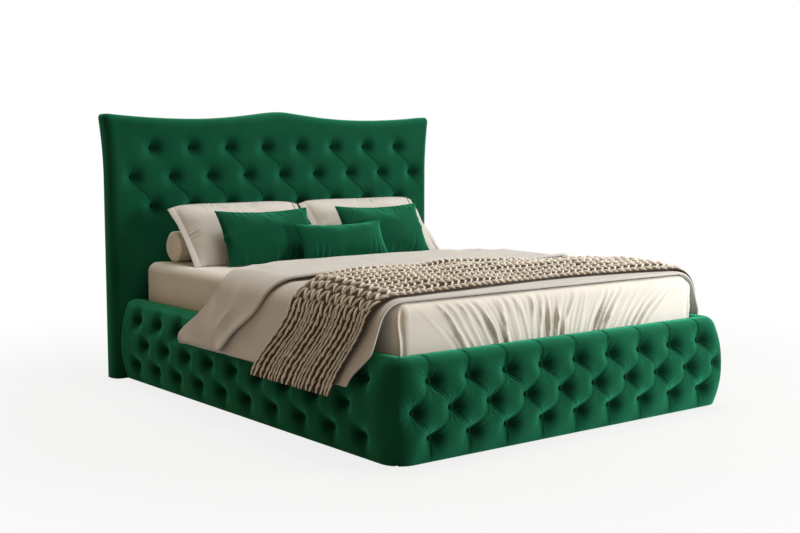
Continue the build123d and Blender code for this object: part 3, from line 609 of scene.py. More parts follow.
class Finishes:
    """Every material of the bed, made once."""

    CLOTHS = (VELVET, BUTTON_PAINTED_SHADE, CUSHION_VELVET, SHEET_COTTON, DUVET_COTTON, PILLOW_COTTON,
              BOLSTER_COTTON, KNIT_YARN, KNIT_SHADE, TICKING, BACK_CLOTH)
    WOODS = (PINE, CROSS_PINE, UPRIGHT_PINE, PLYWOOD)
    HARDWARE = (ZINC, GLIDE_PLASTIC)

    def __init__(self) -> None:
        """Build the node groups and the materials that use them."""
        surface, grain = build_cloth_group(), build_grain_group()
        self.materials = {cloth.name: cloth.build(surface) for cloth in self.CLOTHS}
        self.materials |= {wood.name: wood.build(grain) for wood in self.WOODS}
        self.materials |= {hard.name: hard.build() for hard in self.HARDWARE}

    def dress(self, piece: Piece, finish: ClothFinish | WoodFinish | HardFinish) -> None:
        """Give a piece one material."""
        piece.data.materials.clear()
        piece.data.materials.append(self.materials[finish.name])

    def dress_nodes(self, nodes: Sequence[str], finish: ClothFinish | WoodFinish | HardFinish) -> None:
        """Give the same material to CAD pieces, by name."""
        for node in nodes:
            self.dress(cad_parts[node], finish)


# Tufted upholstery


class Pleats(Enum):
    """How deep the lines between tufts are sewn into pleats: the rising lines, then the falling ones."""

    BOTH = (0.7, 1.0)
    FALLING = (0.0, 1.0)


@dataclass
class Tufting:
    """Rows of tufts on a padded face, with pleats between them.

    u runs along the face and s up it. The three rows stand at s = high, middle and low; the middle row is
    half a pitch aside. With X = (u - first) / pitch and Z = (high - s) / row pitch held between 0 and 2, the
    pleats lie on the lines where X + Z / 2 or X - Z / 2 is a whole number, and the tufts where both are.
    """

    pitch: float
    first: float
    low: float
    high: float
    span: tuple[float, float]
    puff: float
    puff_power: float
    hollow: float
    hollow_radius: float
    pinch: float
    pinch_radius: float
    gather: float
    gather_count: int = 13
    gather_at: float = 0.042
    gather_width: float = 0.02
    pleats: Pleats = Pleats.BOTH
    pleat_depth: float = 0.0
    pleat_half: float = 0.005
    pleat_width: float = 0.0026
    pleat_ends: tuple[float, float] = (0.012, 0.035)
    # Share of painted shade along the pleats.
    pleat_painted_shade: float = 0.6
    blunt: float = 0.07
    sway: float = 0.03
    pull: float = 0.0
    pull_half: float = 0.007
    pull_rise: float = 0.004
    pull_length: float = 0.03
    # Painted shade: how far its dark bell sits to one side of each tuft, and its width, in hollow radii.
    shade_offset: float = 0.65
    shade_width: float = 0.8
    span_fade: float = 0.03

    def lines(self, u: Array, s: Array) -> tuple[Array, Array, Array]:
        """Pleat coordinates a and b of each place, and how fast they change with distance.

        Args:
            u: Places along the face.
            s: Places up the face.

        Returns:
            a and b, which are whole numbers on the pleats, and their change for each metre across a pleat.
        """
        row_pitch = (self.high - self.low) / 2
        x = (u - self.first) / self.pitch
        z = (self.high - s) / row_pitch
        upright = (z < 0) | (z > 2)
        z = np.clip(z, 0, 2)
        a, b = x + z / 2, x - z / 2
        a, b = a + self.sway * np.sin(2 * np.pi * b), b + self.sway * np.sin(2 * np.pi * a)
        steep = np.where(upright, 1 / self.pitch, np.hypot(1 / self.pitch, 1 / (2 * row_pitch)))
        return a, b, steep

    def inside(self, u: Array) -> Array:
        """1 between the ends of the tufted span, easing to 0 beyond them."""
        (first, last), fade = self.span, self.span_fade
        return ease(u, first - fade, first + fade) * ease(-u, -last - fade, -last + fade)

    def nearest(self, u: Array, s: Array) -> tuple[Array, Array]:
        """Distance and direction to the nearest tuft that lies within the span.

        Args:
            u: Places along the face.
            s: Places up the face.

        Returns:
            Distances, at most 1, and angles about the tuft.
        """
        middle = (self.low + self.high) / 2
        best, turn = np.full(u.shape, 1.0), np.zeros(u.shape)
        for level, shift in ((self.low, 0.0), (middle, self.pitch / 2), (self.high, 0.0)):
            start = self.first + shift
            centre = start + np.round((u - start) / self.pitch) * self.pitch
            reach = np.hypot(u - centre, s - level)
            reach = np.where((centre > self.span[0]) & (centre < self.span[1]), reach, 1.0)
            turn = np.where(reach < best, np.arctan2(s - level, u - centre), turn)
            best = np.minimum(best, reach)
        return best, turn

    def puffs(self, u: Array, s: Array) -> Array:
        """Drop of the cover below its fullest places: 1 - (|sin(pi a)| |sin(pi b)|)^power, blunted.

        Args:
            u: Places along the face.
            s: Places up the face.

        Returns:
            Heights, at most 0.
        """
        a, b, _ = self.lines(u, s)
        across, along = (np.sqrt(np.sin(np.pi * line) ** 2 + self.blunt**2) for line in (a, b))
        return -self.puff * self.inside(u) * (1 - np.minimum(across * along, 1.0) ** self.puff_power)

    def grooves(self, u: Array, s: Array) -> Array:
        """Two thin bell-shaped grooves beside each pleat line, fading out at the tufts.

        Args:
            u: Places along the face.
            s: Places up the face.

        Returns:
            Depth of the grooves from 0 to 1.
        """
        a, b, steep = self.lines(u, s)
        away, _ = self.nearest(u, s)
        grooves = 0.0
        for share, line in zip(self.pleats.value, (a, b)):
            gap = np.abs(line - np.round(line)) / steep
            grooves = np.maximum(grooves, share * bump(gap, self.pleat_half, self.pleat_width))
        return self.inside(u) * grooves * ease(away, *self.pleat_ends)

    def dimples(self, u: Array, s: Array) -> Array:
        """A wide and a narrow bell-shaped hollow at each tuft, an upright pull, and gathers that fan out.

        Args:
            u: Places along the face.
            s: Places up the face.

        Returns:
            Heights, below 0 in the hollows.
        """
        away, angle = self.nearest(u, s)
        pulled = bump(away * np.cos(angle), 0.0, self.pull_half)
        pulled = pulled * bump(away * np.sin(angle), self.pull_rise, self.pull_length)
        fan = np.sin(self.gather_count * angle + 4 * noise(u * 9, s * 9, 5))
        fan = fan * bump(away, self.gather_at, self.gather_width)
        return (self.gather * fan * (0.5 + 0.5 * noise(u * 6, s * 6, 6)) - self.pull * pulled
                - self.hollow * bump(away, 0.0, self.hollow_radius)
                - self.pinch * bump(away, 0.0, self.pinch_radius))

    def relief(self, u: Array, s: Array, full: Array, sewn: float | Array = 1.0) -> Array:
        """The whole pattern as a height: puffs, pleats and dimples added up.

        Args:
            u: Places along the face.
            s: Places up the face.
            full: Share of the puffs at each place.
            sewn: Share of the pleats' depth that is sewn at each place.

        Returns:
            One height for each place, below 0 where the cover sinks.
        """
        return (self.puffs(u, s) * full - self.pleat_depth * self.grooves(u, s) * sewn
                + self.dimples(u, s))

    def painted_shade(self, u: Array, s: Array, sewn: float | Array = 1.0) -> Array:
        """Painted shade in a tuft or pleat: a dark bell set a little to one side of each tuft, where shade
        falls under light from one side.

        Args:
            u: Places along the face.
            s: Places up the face.
            sewn: Share of the pleats' depth that is sewn at each place.

        Returns:
            One value from 0 to 1 for each place.
        """
        away, angle = self.nearest(u, s)
        pleats = self.pleat_painted_shade * self.grooves(u, s) * sewn * (self.pleat_depth > 0)
        # The painted shade is shifted to one side of the tuft.
        off_centre = np.hypot(away * np.cos(angle) - self.shade_offset * self.hollow_radius, away * np.sin(angle))
        return np.maximum(bump(off_centre, 0.0, self.shade_width * self.hollow_radius), pleats)


@dataclass
class PadSection:
    """Section of a surround pad: out from the wall of the well, and up."""

    depth: float = 0.1205
    board: float = 0.025
    bottom: float = 0.012
    top: float = 0.394
    belly: float = 0.185
    radius: float = 0.47
    shoulder: float = 0.362
    fall: float = 0.006
    lip: float = 0.004
    inside: float = 0.331
    skin: float = 0.001
    belly_points: int = 200
    roll_points: int = 60

    def curve(self, step: float) -> tuple[Array, Array, Array]:
        """The section as points at an even step.

        From the board's underside: a flat hem, the belly's arc, the rolled shoulder's arc, the fall of the
        top and the inner wall.

        Args:
            step: Distance between points.

        Returns:
            Distance out, height, and arc length measured from the belly's widest line.
        """
        low = np.arcsin((self.bottom - self.belly) / self.radius)
        tilt = np.arcsin((self.shoulder - self.belly) / self.radius)
        arc = np.linspace(low, tilt, self.belly_points)
        out = self.depth - self.radius * (1 - np.cos(arc))
        up = self.belly + self.radius * np.sin(arc)
        roll = (self.top - self.shoulder) / (1 - np.sin(tilt))
        turn = np.linspace(tilt, np.pi / 2, self.roll_points)[1:]
        roll_out = out[-1] + roll * (np.cos(turn) - np.cos(tilt))
        roll_up = up[-1] + roll * (np.sin(turn) - np.sin(tilt))
        out = np.concatenate([[self.board + self.skin], out, roll_out, [self.lip, -self.skin, -self.skin]])
        up = np.concatenate([[self.bottom], up, roll_up,
                             [self.top - self.fall * 0.7, self.top - 2 * self.fall, self.inside]])
        length = run_length(out, up)
        even = np.linspace(0, length[-1], int(length[-1] / step))
        widest = np.interp(self.belly, up[:self.belly_points], length[:self.belly_points])
        return np.interp(even, length, out), np.interp(even, length, up), even - widest

    def level(self, z: float) -> float:
        """Arc length, from the belly's widest line, of a height on the face."""
        return self.radius * np.arcsin((z - self.belly) / self.radius)


@dataclass
class Surround:
    """The tufted footboard and side rails."""

    finishes: Finishes
    section: PadSection = field(default_factory=PadSection)
    inner_half: float = 0.81
    foot_inner: float = -0.995
    head_front: float = 1.035
    low_row: float = 0.094
    high_row: float = 0.31
    foot_pitch: float = 0.185
    foot_span: float = 0.85
    foot_step: float = 0.0026
    side_pitch: float = 0.2
    side_first: float = 0.14
    side_step: float = 0.0048
    side_margin: float = 0.05
    head_margin: float = 0.1
    corner_turn: float = np.pi / 4
    roll_flat: float = 0.75
    hem_fade: tuple[float, float] = (-0.004, 0.03)
    wall_fade: tuple[float, float] = (0.075, 0.095)
    seam_share: float = 0.25
    seam_fade: float = 0.03
    seam_depth: float = 0.003
    seam_half: float = 0.006

    def build(self) -> None:
        """Make the three covers and dress the buttons."""
        self.foot_cover()
        for name, side in (("left", -1), ("right", 1)):
            self.side_cover(name, side)
        self.finishes.dress_nodes(("foot_buttons", "side_buttons_left", "side_buttons_right"), BUTTON_PAINTED_SHADE)

    def foot_cover(self) -> None:
        """The footboard's cover: the section carried across the foot and half-way round both corners."""
        reach = self.inner_half + self.corner_turn * self.section.depth
        u = np.linspace(-reach, reach, int(2 * reach / self.foot_step))
        angle = np.clip((np.abs(u) - self.inner_half) / self.section.depth, 0, self.corner_turn) * np.sign(u)
        path = np.stack([np.clip(u, -self.inner_half, self.inner_half), np.full(u.shape, self.foot_inner)],
                        axis=-1)
        outward = np.stack([np.sin(angle), -np.cos(angle)], axis=-1)
        tufts = Tufting(self.foot_pitch, 0.0, *self.rows(), span=(-self.foot_span, self.foot_span),
                        puff=0.0105, puff_power=0.42, hollow=0.026, hollow_radius=0.04, pinch=0.0025,
                        pinch_radius=0.012, gather=0.0009, pleat_depth=0.0035, blunt=0.1)
        self.cover("foot", path, outward, self.foot_step, tufts, u, reach - np.abs(u))

    def side_cover(self, name: str, side: int) -> None:
        """A rail's cover: the section carried along the rail and half-way round the foot corner.

        Args:
            name: Left or right.
            side: -1 for left, 1 for right.
        """
        start = self.foot_inner - self.corner_turn * self.section.depth
        end = self.head_front + self.section.skin
        u = np.linspace(start, end, int((end - start) / self.side_step))[::side]
        angle = np.clip((self.foot_inner - u) / self.section.depth, 0, self.corner_turn)
        path = np.stack([np.full(u.shape, side * self.inner_half), np.maximum(u, self.foot_inner)], axis=-1)
        outward = np.stack([side * np.cos(angle), -np.sin(angle)], axis=-1)
        tufts = Tufting(self.side_pitch, self.head_front - self.side_first, *self.rows(),
                        span=(self.foot_inner + self.side_margin, self.head_front - self.head_margin),
                        puff=0.007, puff_power=0.4, hollow=0.024, hollow_radius=0.039, pinch=0.005,
                        pinch_radius=0.014, gather=0.0004)
        self.cover(f"side_{name}", path, outward, self.side_step, tufts, u, np.minimum(u - start, end - u))

    def rows(self) -> tuple[float, float]:
        """Arc lengths of the lowest and the highest row of tufts."""
        return self.section.level(self.low_row), self.section.level(self.high_row)

    def cover(self, name: str, path: Array, outward: Array, step: float, tufts: Tufting, u: Array,
              seam: Array) -> None:
        """The pattern eases out at the hem, the inner wall and the seams.

        Args:
            name: Name of the pad, with its side where it has one.
            path: Places of the well's wall, from above.
            outward: Direction out of the well at each of them.
            step: Distance between the section's points.
            tufts: The pattern.
            u: Distance along the face at each place.
            seam: Distance from the nearest end of the cover.
        """
        out, up, s = self.section.curve(step)
        plan = path + outward * out[:, None, None]
        points = np.concatenate([plan, np.broadcast_to(up[:, None, None], (*plan.shape[:2], 1))], axis=-1)
        u, s = np.meshgrid(u, s)
        top, bottom = self.section.level(self.section.shoulder), self.section.level(self.section.bottom)
        fade = window(s, (*(bottom + end for end in self.hem_fade), *(top + end for end in self.wall_fade)))
        full = 1 - self.roll_flat * ease(s, tufts.high + 0.02, top + 0.02)
        loose = self.seam_share + (1 - self.seam_share) * ease(seam, 0.0, self.seam_fade)
        depth = tufts.relief(u, s, full) * fade * loose
        depth = depth - self.seam_depth * bump(seam, 0.0, self.seam_half)
        points = points + grid_normals(points) * depth[..., None]
        kind, _, hand = name.partition("_")
        ending = f"_{hand}" if hand else ""
        # The cover carries painted shade for its tufts and pleats.
        piece = make_mesh(f"{kind}_cover{ending}", points, grid_faces(*u.shape), painted_shade=tufts.painted_shade(u, s))
        self.finishes.dress(piece, VELVET)
        declare(piece, "bed_frame", [f"{kind}_pad{ending}"])


@dataclass
class Headboard:
    """The tall tufted headboard with its shaped top edge."""

    finishes: Finishes
    front: float = 1.035
    panel: float = 1.077
    back: float = 1.115
    bottom: float = 0.012
    half: float = 0.96
    flare: float = 0.024
    flare_length: float = 0.32
    dip: float = 1.257
    corner_rise: float = 0.025
    crest_rise: float = 0.039
    crest_half: float = 0.06
    dip_at: float = 0.52
    corner_radius: float = 0.032
    edge_radius: float = 0.04
    skin: float = 0.0015
    notch_half: float = 0.8353
    notch_top: float = 0.355
    tuft_pitch: float = 0.212
    low_row: float = 0.836
    high_row: float = 1.116
    middle_row: float = 0.976
    tuft_span: float = 0.9
    deepest: float = 0.036
    wrap: tuple[float, float] = (1.085, 1.1)
    lining: float = 0.0012
    hem: float = 0.03
    rim_margin: float = 0.02
    puffed: tuple[float, float, float, float] = (0.70, 0.84, 1.10, 1.19)
    sewn: tuple[float, float, float, float] = (0.82, 0.85, 1.09, 1.12)
    step: float = 0.0046

    def build(self) -> None:
        """Make the cover and dress the buttons and the board behind it."""
        self.cover()
        self.finishes.dress_nodes(("headboard_buttons",), BUTTON_PAINTED_SHADE)
        self.finishes.dress_nodes(("headboard_back",), BACK_CLOTH)

    def top_edge(self, x: Array) -> Array:
        """Height of the top edge: rising arcs to the corners and a crest in the middle.

        Args:
            x: Places across.

        Returns:
            Heights.
        """
        away = np.sqrt(x**2 + self.crest_half**2)
        inner = np.clip((self.dip_at - away) / (self.dip_at - self.crest_half), 0, None)
        outer = np.clip((away - self.dip_at) / (self.half + self.flare - self.dip_at), 0, None)
        return self.dip + self.crest_rise * inner**2 + self.corner_rise * outer**2

    def face(self) -> tuple[Array, Array, Array]:
        """The front as a grid that fills the outline.

        Columns run from the bottom up to the top edge and spread with the flare. At the top corners the
        grid's square becomes a quarter disc: a sqrt(1 - b^2 / 2) by b sqrt(1 - a^2 / 2).

        Returns:
            Places across, heights, and distance in from the outline.
        """
        across, rise = np.meshgrid(np.linspace(-1, 1, int(2 * self.half / self.step)),
                                   np.linspace(0, 1, int((self.dip - self.bottom) / self.step)))
        reach = self.half + self.skin
        height = self.bottom + rise * (self.top_edge(across * reach) + self.skin - self.bottom)
        flare_foot = self.dip + self.corner_rise - self.flare_length
        half = reach + self.flare * np.clip((height - flare_foot) / self.flare_length, 0, None) ** 2
        x = across * half
        side_gap, top_gap = half - np.abs(x), self.top_edge(x) + self.skin - height
        radius = self.corner_radius
        a, b = np.clip(1 - side_gap / radius, 0, 1), np.clip(1 - top_gap / radius, 0, 1)
        round_a, round_b = a * np.sqrt(1 - b**2 / 2), b * np.sqrt(1 - a**2 / 2)
        x = x + np.sign(x) * radius * (round_a - a)
        height = height + radius * (round_b - b)
        in_corner = radius * (1 - np.hypot(round_a, round_b))
        return x, height, np.where((a > 0) & (b > 0), in_corner, np.minimum(side_gap, top_gap))

    def cover(self) -> None:
        """One cover over the front, the sides and the turned back edge, with a notch where the rails come in.

        The edge rolls back on a quarter circle. Above the middle row noise leaves some of the pleats unsewn.
        """
        x, height, edge = self.face()
        tufts = Tufting(self.tuft_pitch, self.tuft_pitch / 2, self.low_row, self.high_row,
                        span=(-self.tuft_span, self.tuft_span), puff=0.0025, puff_power=0.6, hollow=0.025,
                        hollow_radius=0.041, pinch=0.002, pinch_radius=0.014, gather=0.0003,
                        pleats=Pleats.FALLING, pleat_depth=0.003, pleat_half=0.0, pleat_width=0.005,
                        blunt=0.12, sway=0.05, pull=0.006)
        left_out = ease(noise(x * 4.7 + 3, 0 * x, 33), -0.1, 0.3)
        sewn = window(height, self.sewn) * np.where(height > self.middle_row, left_out, 1.0)
        relief = np.maximum(tufts.relief(x, height, window(height, self.puffed), sewn), -self.deepest)
        sunk = np.clip(self.edge_radius - edge, 0, self.edge_radius)
        roll = self.edge_radius - np.sqrt(self.edge_radius**2 - sunk**2)
        y = self.front + roll - relief * ease(edge, 0.005, 0.03)
        faces = grid_faces(*x.shape)
        # Each point carries painted shade for its tufts and pleats; the turned rim gets none.
        deep = np.stack([x, y, height, tufts.painted_shade(x, height, sewn)], axis=-1).reshape(-1, 4)
        centre = deep[faces].mean(axis=1)
        keep = (np.abs(centre[:, 0]) > self.notch_half) | (centre[:, 2] > self.notch_top)
        deep, faces = used_only(deep, faces[keep])
        behind = self.back + self.lining
        rings = [partial(self.turned, depth, inward) for depth, inward in (
            (self.wrap[0], 0), (self.wrap[1], 0), (self.back, 0), (behind, 0.002), (behind, self.hem))]
        points, faces = with_rim(deep[:, :3], faces, rings)
        painted_shade = np.concatenate([deep[:, 3], np.zeros(len(points) - len(deep))])
        piece = make_mesh("headboard_cover", points, faces, painted_shade=painted_shade)
        self.finishes.dress(piece, VELVET)
        declare(piece, "bed_frame", ["headboard_pad", "headboard_leg_pads"])

    def turned(self, depth: float, inward: float, rim: Array) -> Array:
        """The rim taken back to a depth and drawn in towards the middle of the board.

        Round the notch it goes back no further than the panel.

        Args:
            depth: Distance along the bed.
            inward: How far it is drawn in from the sides and the top.
            rim: Places of the rim.

        Returns:
            The moved places.
        """
        margin = self.rim_margin
        notch = (np.abs(rim[:, 0]) < self.half - margin) & (rim[:, 2] < self.notch_top + margin)
        at_side = ease(np.abs(rim[:, 0]), self.half - 0.06, self.half - 0.005)
        at_top = ease(rim[:, 2], self.dip - 0.09, self.dip - margin)
        moved = rim.copy()
        moved[:, 0] -= np.sign(rim[:, 0]) * inward * at_side
        moved[:, 1] = np.where(notch, np.minimum(depth, self.panel - self.skin), depth)
        moved[:, 2] -= inward * at_top
        return moved


# Mattress and bedding


@dataclass
class Mattress:
    """The mattress and its fitted sheet."""

    finishes: Finishes
    half: float = 0.8
    foot: float = -0.98
    head: float = 1.02
    bottom: float = 0.327
    top: float = 0.567
    edge: float = 0.045
    edge_points: int = 10
    corner_points: int = 25
    core_step: float = 0.03
    taper: float = 0.012
    lowest: float = 0.02
    hollow_depth: float = 0.006
    hollow_at: float = 0.09
    hollow_width: float = 0.05
    sheet: float = 0.0025
    sheet_step: float = 0.006
    hem: float = 0.012
    crease_pitch: float = 0.062
    crease_height: float = 0.02
    fine_pitch: float = 0.027
    fine_height: float = 0.0035
    crease_bend: float = 0.016
    deepest_fall: float = 0.2
    fold_at: float = 0.04
    fold_height: float = 0.011
    fold_width: float = 0.0042
    least_lift: float = -0.0018
    room_in_well: float = 0.0118
    room_above: float = 0.007

    def build(self) -> None:
        """Make the mattress and its sheet."""
        self.core()
        self.fitted_sheet()

    def block(self, grow: float, low: float, inward: Sequence[float],
              step: float) -> tuple[Array, Array, Array, Array]:
        """A rounded block as rings: the side, the rounded top edge, then rings drawn in over the top.

        Each ring is a rectangle with rounded corners, walked at an even step from the left of the foot. One
        side and the corner after it, turned by quarters, make the whole walk.

        Args:
            grow: Distance outside the mattress.
            low: Height of the lowest ring.
            inward: How far the rings on the top are drawn in.
            step: Distance between points.

        Returns:
            Places of the rings, outward directions in plan, distance round, and distance up the section.
        """
        radius = self.edge + grow
        wide, long = self.half + grow, (self.head - self.foot) / 2 + grow
        side = np.linspace(low, self.top + grow - radius, int((self.top - radius - low) / step) + 1)
        turn = np.linspace(0, np.pi / 2, self.edge_points)[1:]
        inset = np.concatenate([np.zeros(len(side)), radius * (1 - np.cos(turn)),
                                radius + np.asarray(inward)])
        up = np.concatenate([side, side[-1] + radius * np.sin(turn), np.full(len(inward), self.top + grow)])
        signs, angles = [], []
        for quarter, length in enumerate((wide, long, wide, long)):
            along = np.array([(1, 0), (0, 1), (-1, 0), (0, -1)][quarter])
            facing = np.array([along[1], -along[0]])
            straight = np.linspace(-1, 1, int(2 * length / step))[1:-1]
            walk = np.concatenate([straight, np.ones(self.corner_points)])
            heading = np.concatenate([np.full(len(straight), -np.pi / 2),
                                      np.linspace(-np.pi / 2, 0, self.corner_points)])
            signs.append(walk[:, None] * along + facing)
            angles.append(heading + quarter * np.pi / 2)
        sign, angle = np.concatenate(signs), np.concatenate(angles)
        bend = np.maximum(radius - inset, 0)[:, None]
        x = sign[:, 0] * (np.maximum(wide - inset, 0)[:, None] - bend) + np.cos(angle) * bend
        y = sign[:, 1] * (np.maximum(long - inset, 0)[:, None] - bend) + np.sin(angle) * bend
        points = np.stack([x, (self.foot + self.head) / 2 + y, np.broadcast_to(up[:, None], x.shape)],
                          axis=-1)
        outward = np.stack([np.cos(angle), np.sin(angle), np.zeros(len(angle))], axis=-1)
        return points, outward, run_length(*points[0].T), run_length(inset, up)

    def core(self) -> None:
        """The mattress: a rounded block, a little hollow low down on its sides, and closed below."""
        points, outward, _, rise = self.block(0.0, self.bottom + self.lowest, (0.05, 0.4, 0.7, 0.795),
                                              self.core_step)
        hollow = self.hollow_depth * bump(rise, self.hollow_at, self.hollow_width)
        hollow = np.minimum(0.004 * bump(rise, 0.004, 0.006) - hollow, 0.0)
        points = points + outward * hollow[:, None, None]
        below = points[0] - np.array([0, 0, self.lowest]) - self.taper * outward
        middle = below * np.array([0, 0, 1]) + np.array([0, (self.foot + self.head) / 2, 0])
        rings = np.stack([below + share * (middle - below) for share in (0.99, 0.7, 0.3, 0.0)])
        rings = np.concatenate([rings, points])
        piece = make_mesh("mattress_core", rings, grid_faces(len(rings), rings.shape[1], closed=True))
        self.finishes.dress(piece, TICKING)
        declare(piece, "mattress", ["mattress"])

    def gathers(self, x: Array, z: Array) -> Array:
        """Lift of the sheet on the foot face, where it is pulled down and tucked in.

        The creases are waves across x that draw together towards the middle as they fall; noise bends and
        breaks them, and they fade out at the corners and over the top edge.

        Args:
            x: Places across.
            z: Heights.

        Returns:
            Distance outwards.
        """
        fall = np.clip(self.top - z, 0, self.deepest_fall)
        fan = (x + 0.04) / (1 - 2.2 * fall + 3.5 * fall**2) + self.crease_bend * noise(x * 6, z * 4, 11)
        strength = (0.4 + 0.6 * ease(fall, 0.02, 0.12)) * ease(fall, 0.0, 0.02)
        strength = strength * (1 - ease(np.abs(fan - 0.06), 0.66, 0.8))
        strength = strength * (0.25 + 0.75 * ease(noise(fan * 8, fall * 7, 12), -0.45, 0.45))
        wave = np.sin(np.pi * fan / self.crease_pitch + 2.2 * noise(fan * 10, fall * 6, 13))
        fine = np.sin(2 * np.pi * fan / self.fine_pitch + 2.5 * noise(fan * 17, fall * 9, 14))
        return strength * (self.crease_height * (0.85 - np.abs(wave) ** 0.7) + self.fine_height * fine)

    def corner_folds(self, outward: Array, z: Array) -> Array:
        """Lift of the sewn fold down each foot corner: a narrow ridge with a shallow hollow beside it.

        Args:
            outward: Outward directions in plan.
            z: Heights.

        Returns:
            Distance outwards.
        """
        fall = np.clip(self.top - z, 0, self.deepest_fall)
        turned = np.arctan2(np.abs(outward[:, 0]), -outward[:, 1]) * (self.edge + self.sheet)
        at = self.fold_at + 0.004 * np.sin(30 * fall)
        fold = 1.4 * bump(turned, at, self.fold_width) - 0.3 * bump(turned, at - 0.012, 0.006)
        return self.fold_height * fold * (outward[:, 1] < -0.05) * ease(fall, 0.006, 0.05)

    def fitted_sheet(self) -> None:
        """The sheet: the block's skin, gathered on the foot face, with a fold down the foot corners."""
        inward = np.concatenate([np.linspace(0.01, 0.1, 8), [0.25, 0.45, 0.6, 0.7, 0.75]])
        points, outward, round_u, rise = self.block(self.sheet, self.bottom + self.hem, inward,
                                                    self.sheet_step)
        x, y, z = points[..., 0], points[..., 1], points[..., 2]
        on_foot = ease(-y, -self.foot - 0.06, -self.foot - 0.02) * (outward[:, 1] < -0.9)
        lift = on_foot * self.gathers(x, z) + self.corner_folds(outward, z)
        lift = lift + 0.0012 * noise(round_u * 9, z * 9, 15)
        room = self.room_in_well + self.room_above * ease(z, 0.40, 0.44)
        ripple = 0.0015 * noise(x * 5, y * 5, 16) * ease(rise[:, None], rise[-1] - 1.0, rise[-1] - 0.7)
        points = points + outward * np.clip(lift, self.least_lift, room)[..., None]
        points[..., 2] += ripple
        uv = np.stack(np.broadcast_arrays(round_u[None, :], rise[:, None]), axis=-1)
        sheet = make_mesh("fitted_sheet_cloth", points, grid_faces(*x.shape, closed=True), uv)
        self.finishes.dress(sheet, SHEET_COTTON)
        declare(sheet, "mattress", ["fitted_sheet"])


@dataclass
class Drape:
    """The surface that bedding follows: flat over the mattress, round its edge and down outside the rail.

    s is the distance across from the middle of the bed. Up to s = flat the surface is level; then it turns
    on an arc, and then it falls along a straight line that leans outwards.
    """

    flat: float = 0.755
    radius: float = 0.1
    top: float = 0.57
    lean: float = 0.353

    @property
    def bend_end(self) -> float:
        """Distance across at which the arc ends."""
        return self.flat + self.radius * (np.pi / 2 - self.lean)

    def reach(self, hem: float) -> float:
        """Distance across at which the drop comes to a height."""
        start = self.top - self.radius * (1 - np.sin(self.lean))
        return self.bend_end + (start - hem) / np.cos(self.lean)

    def point(self, s: Array, y: Array, lift: Array) -> Array:
        """Places on the surface.

        Args:
            s: Distance across, negative on the left.
            y: Distance along the bed.
            lift: Distance outside the surface.

        Returns:
            Places, shaped like s with three coordinates each.
        """
        away = np.abs(s)
        turn = np.clip((away - self.flat) / self.radius, 0, np.pi / 2 - self.lean)
        fall = np.clip(away - self.bend_end, 0, None)
        x = np.minimum(away, self.flat) + (self.radius + lift) * np.sin(turn) + fall * np.sin(self.lean)
        z = self.top - self.radius + (self.radius + lift) * np.cos(turn) - fall * np.cos(self.lean)
        return np.stack([x * np.sign(s), np.broadcast_to(y, s.shape), z], axis=-1)


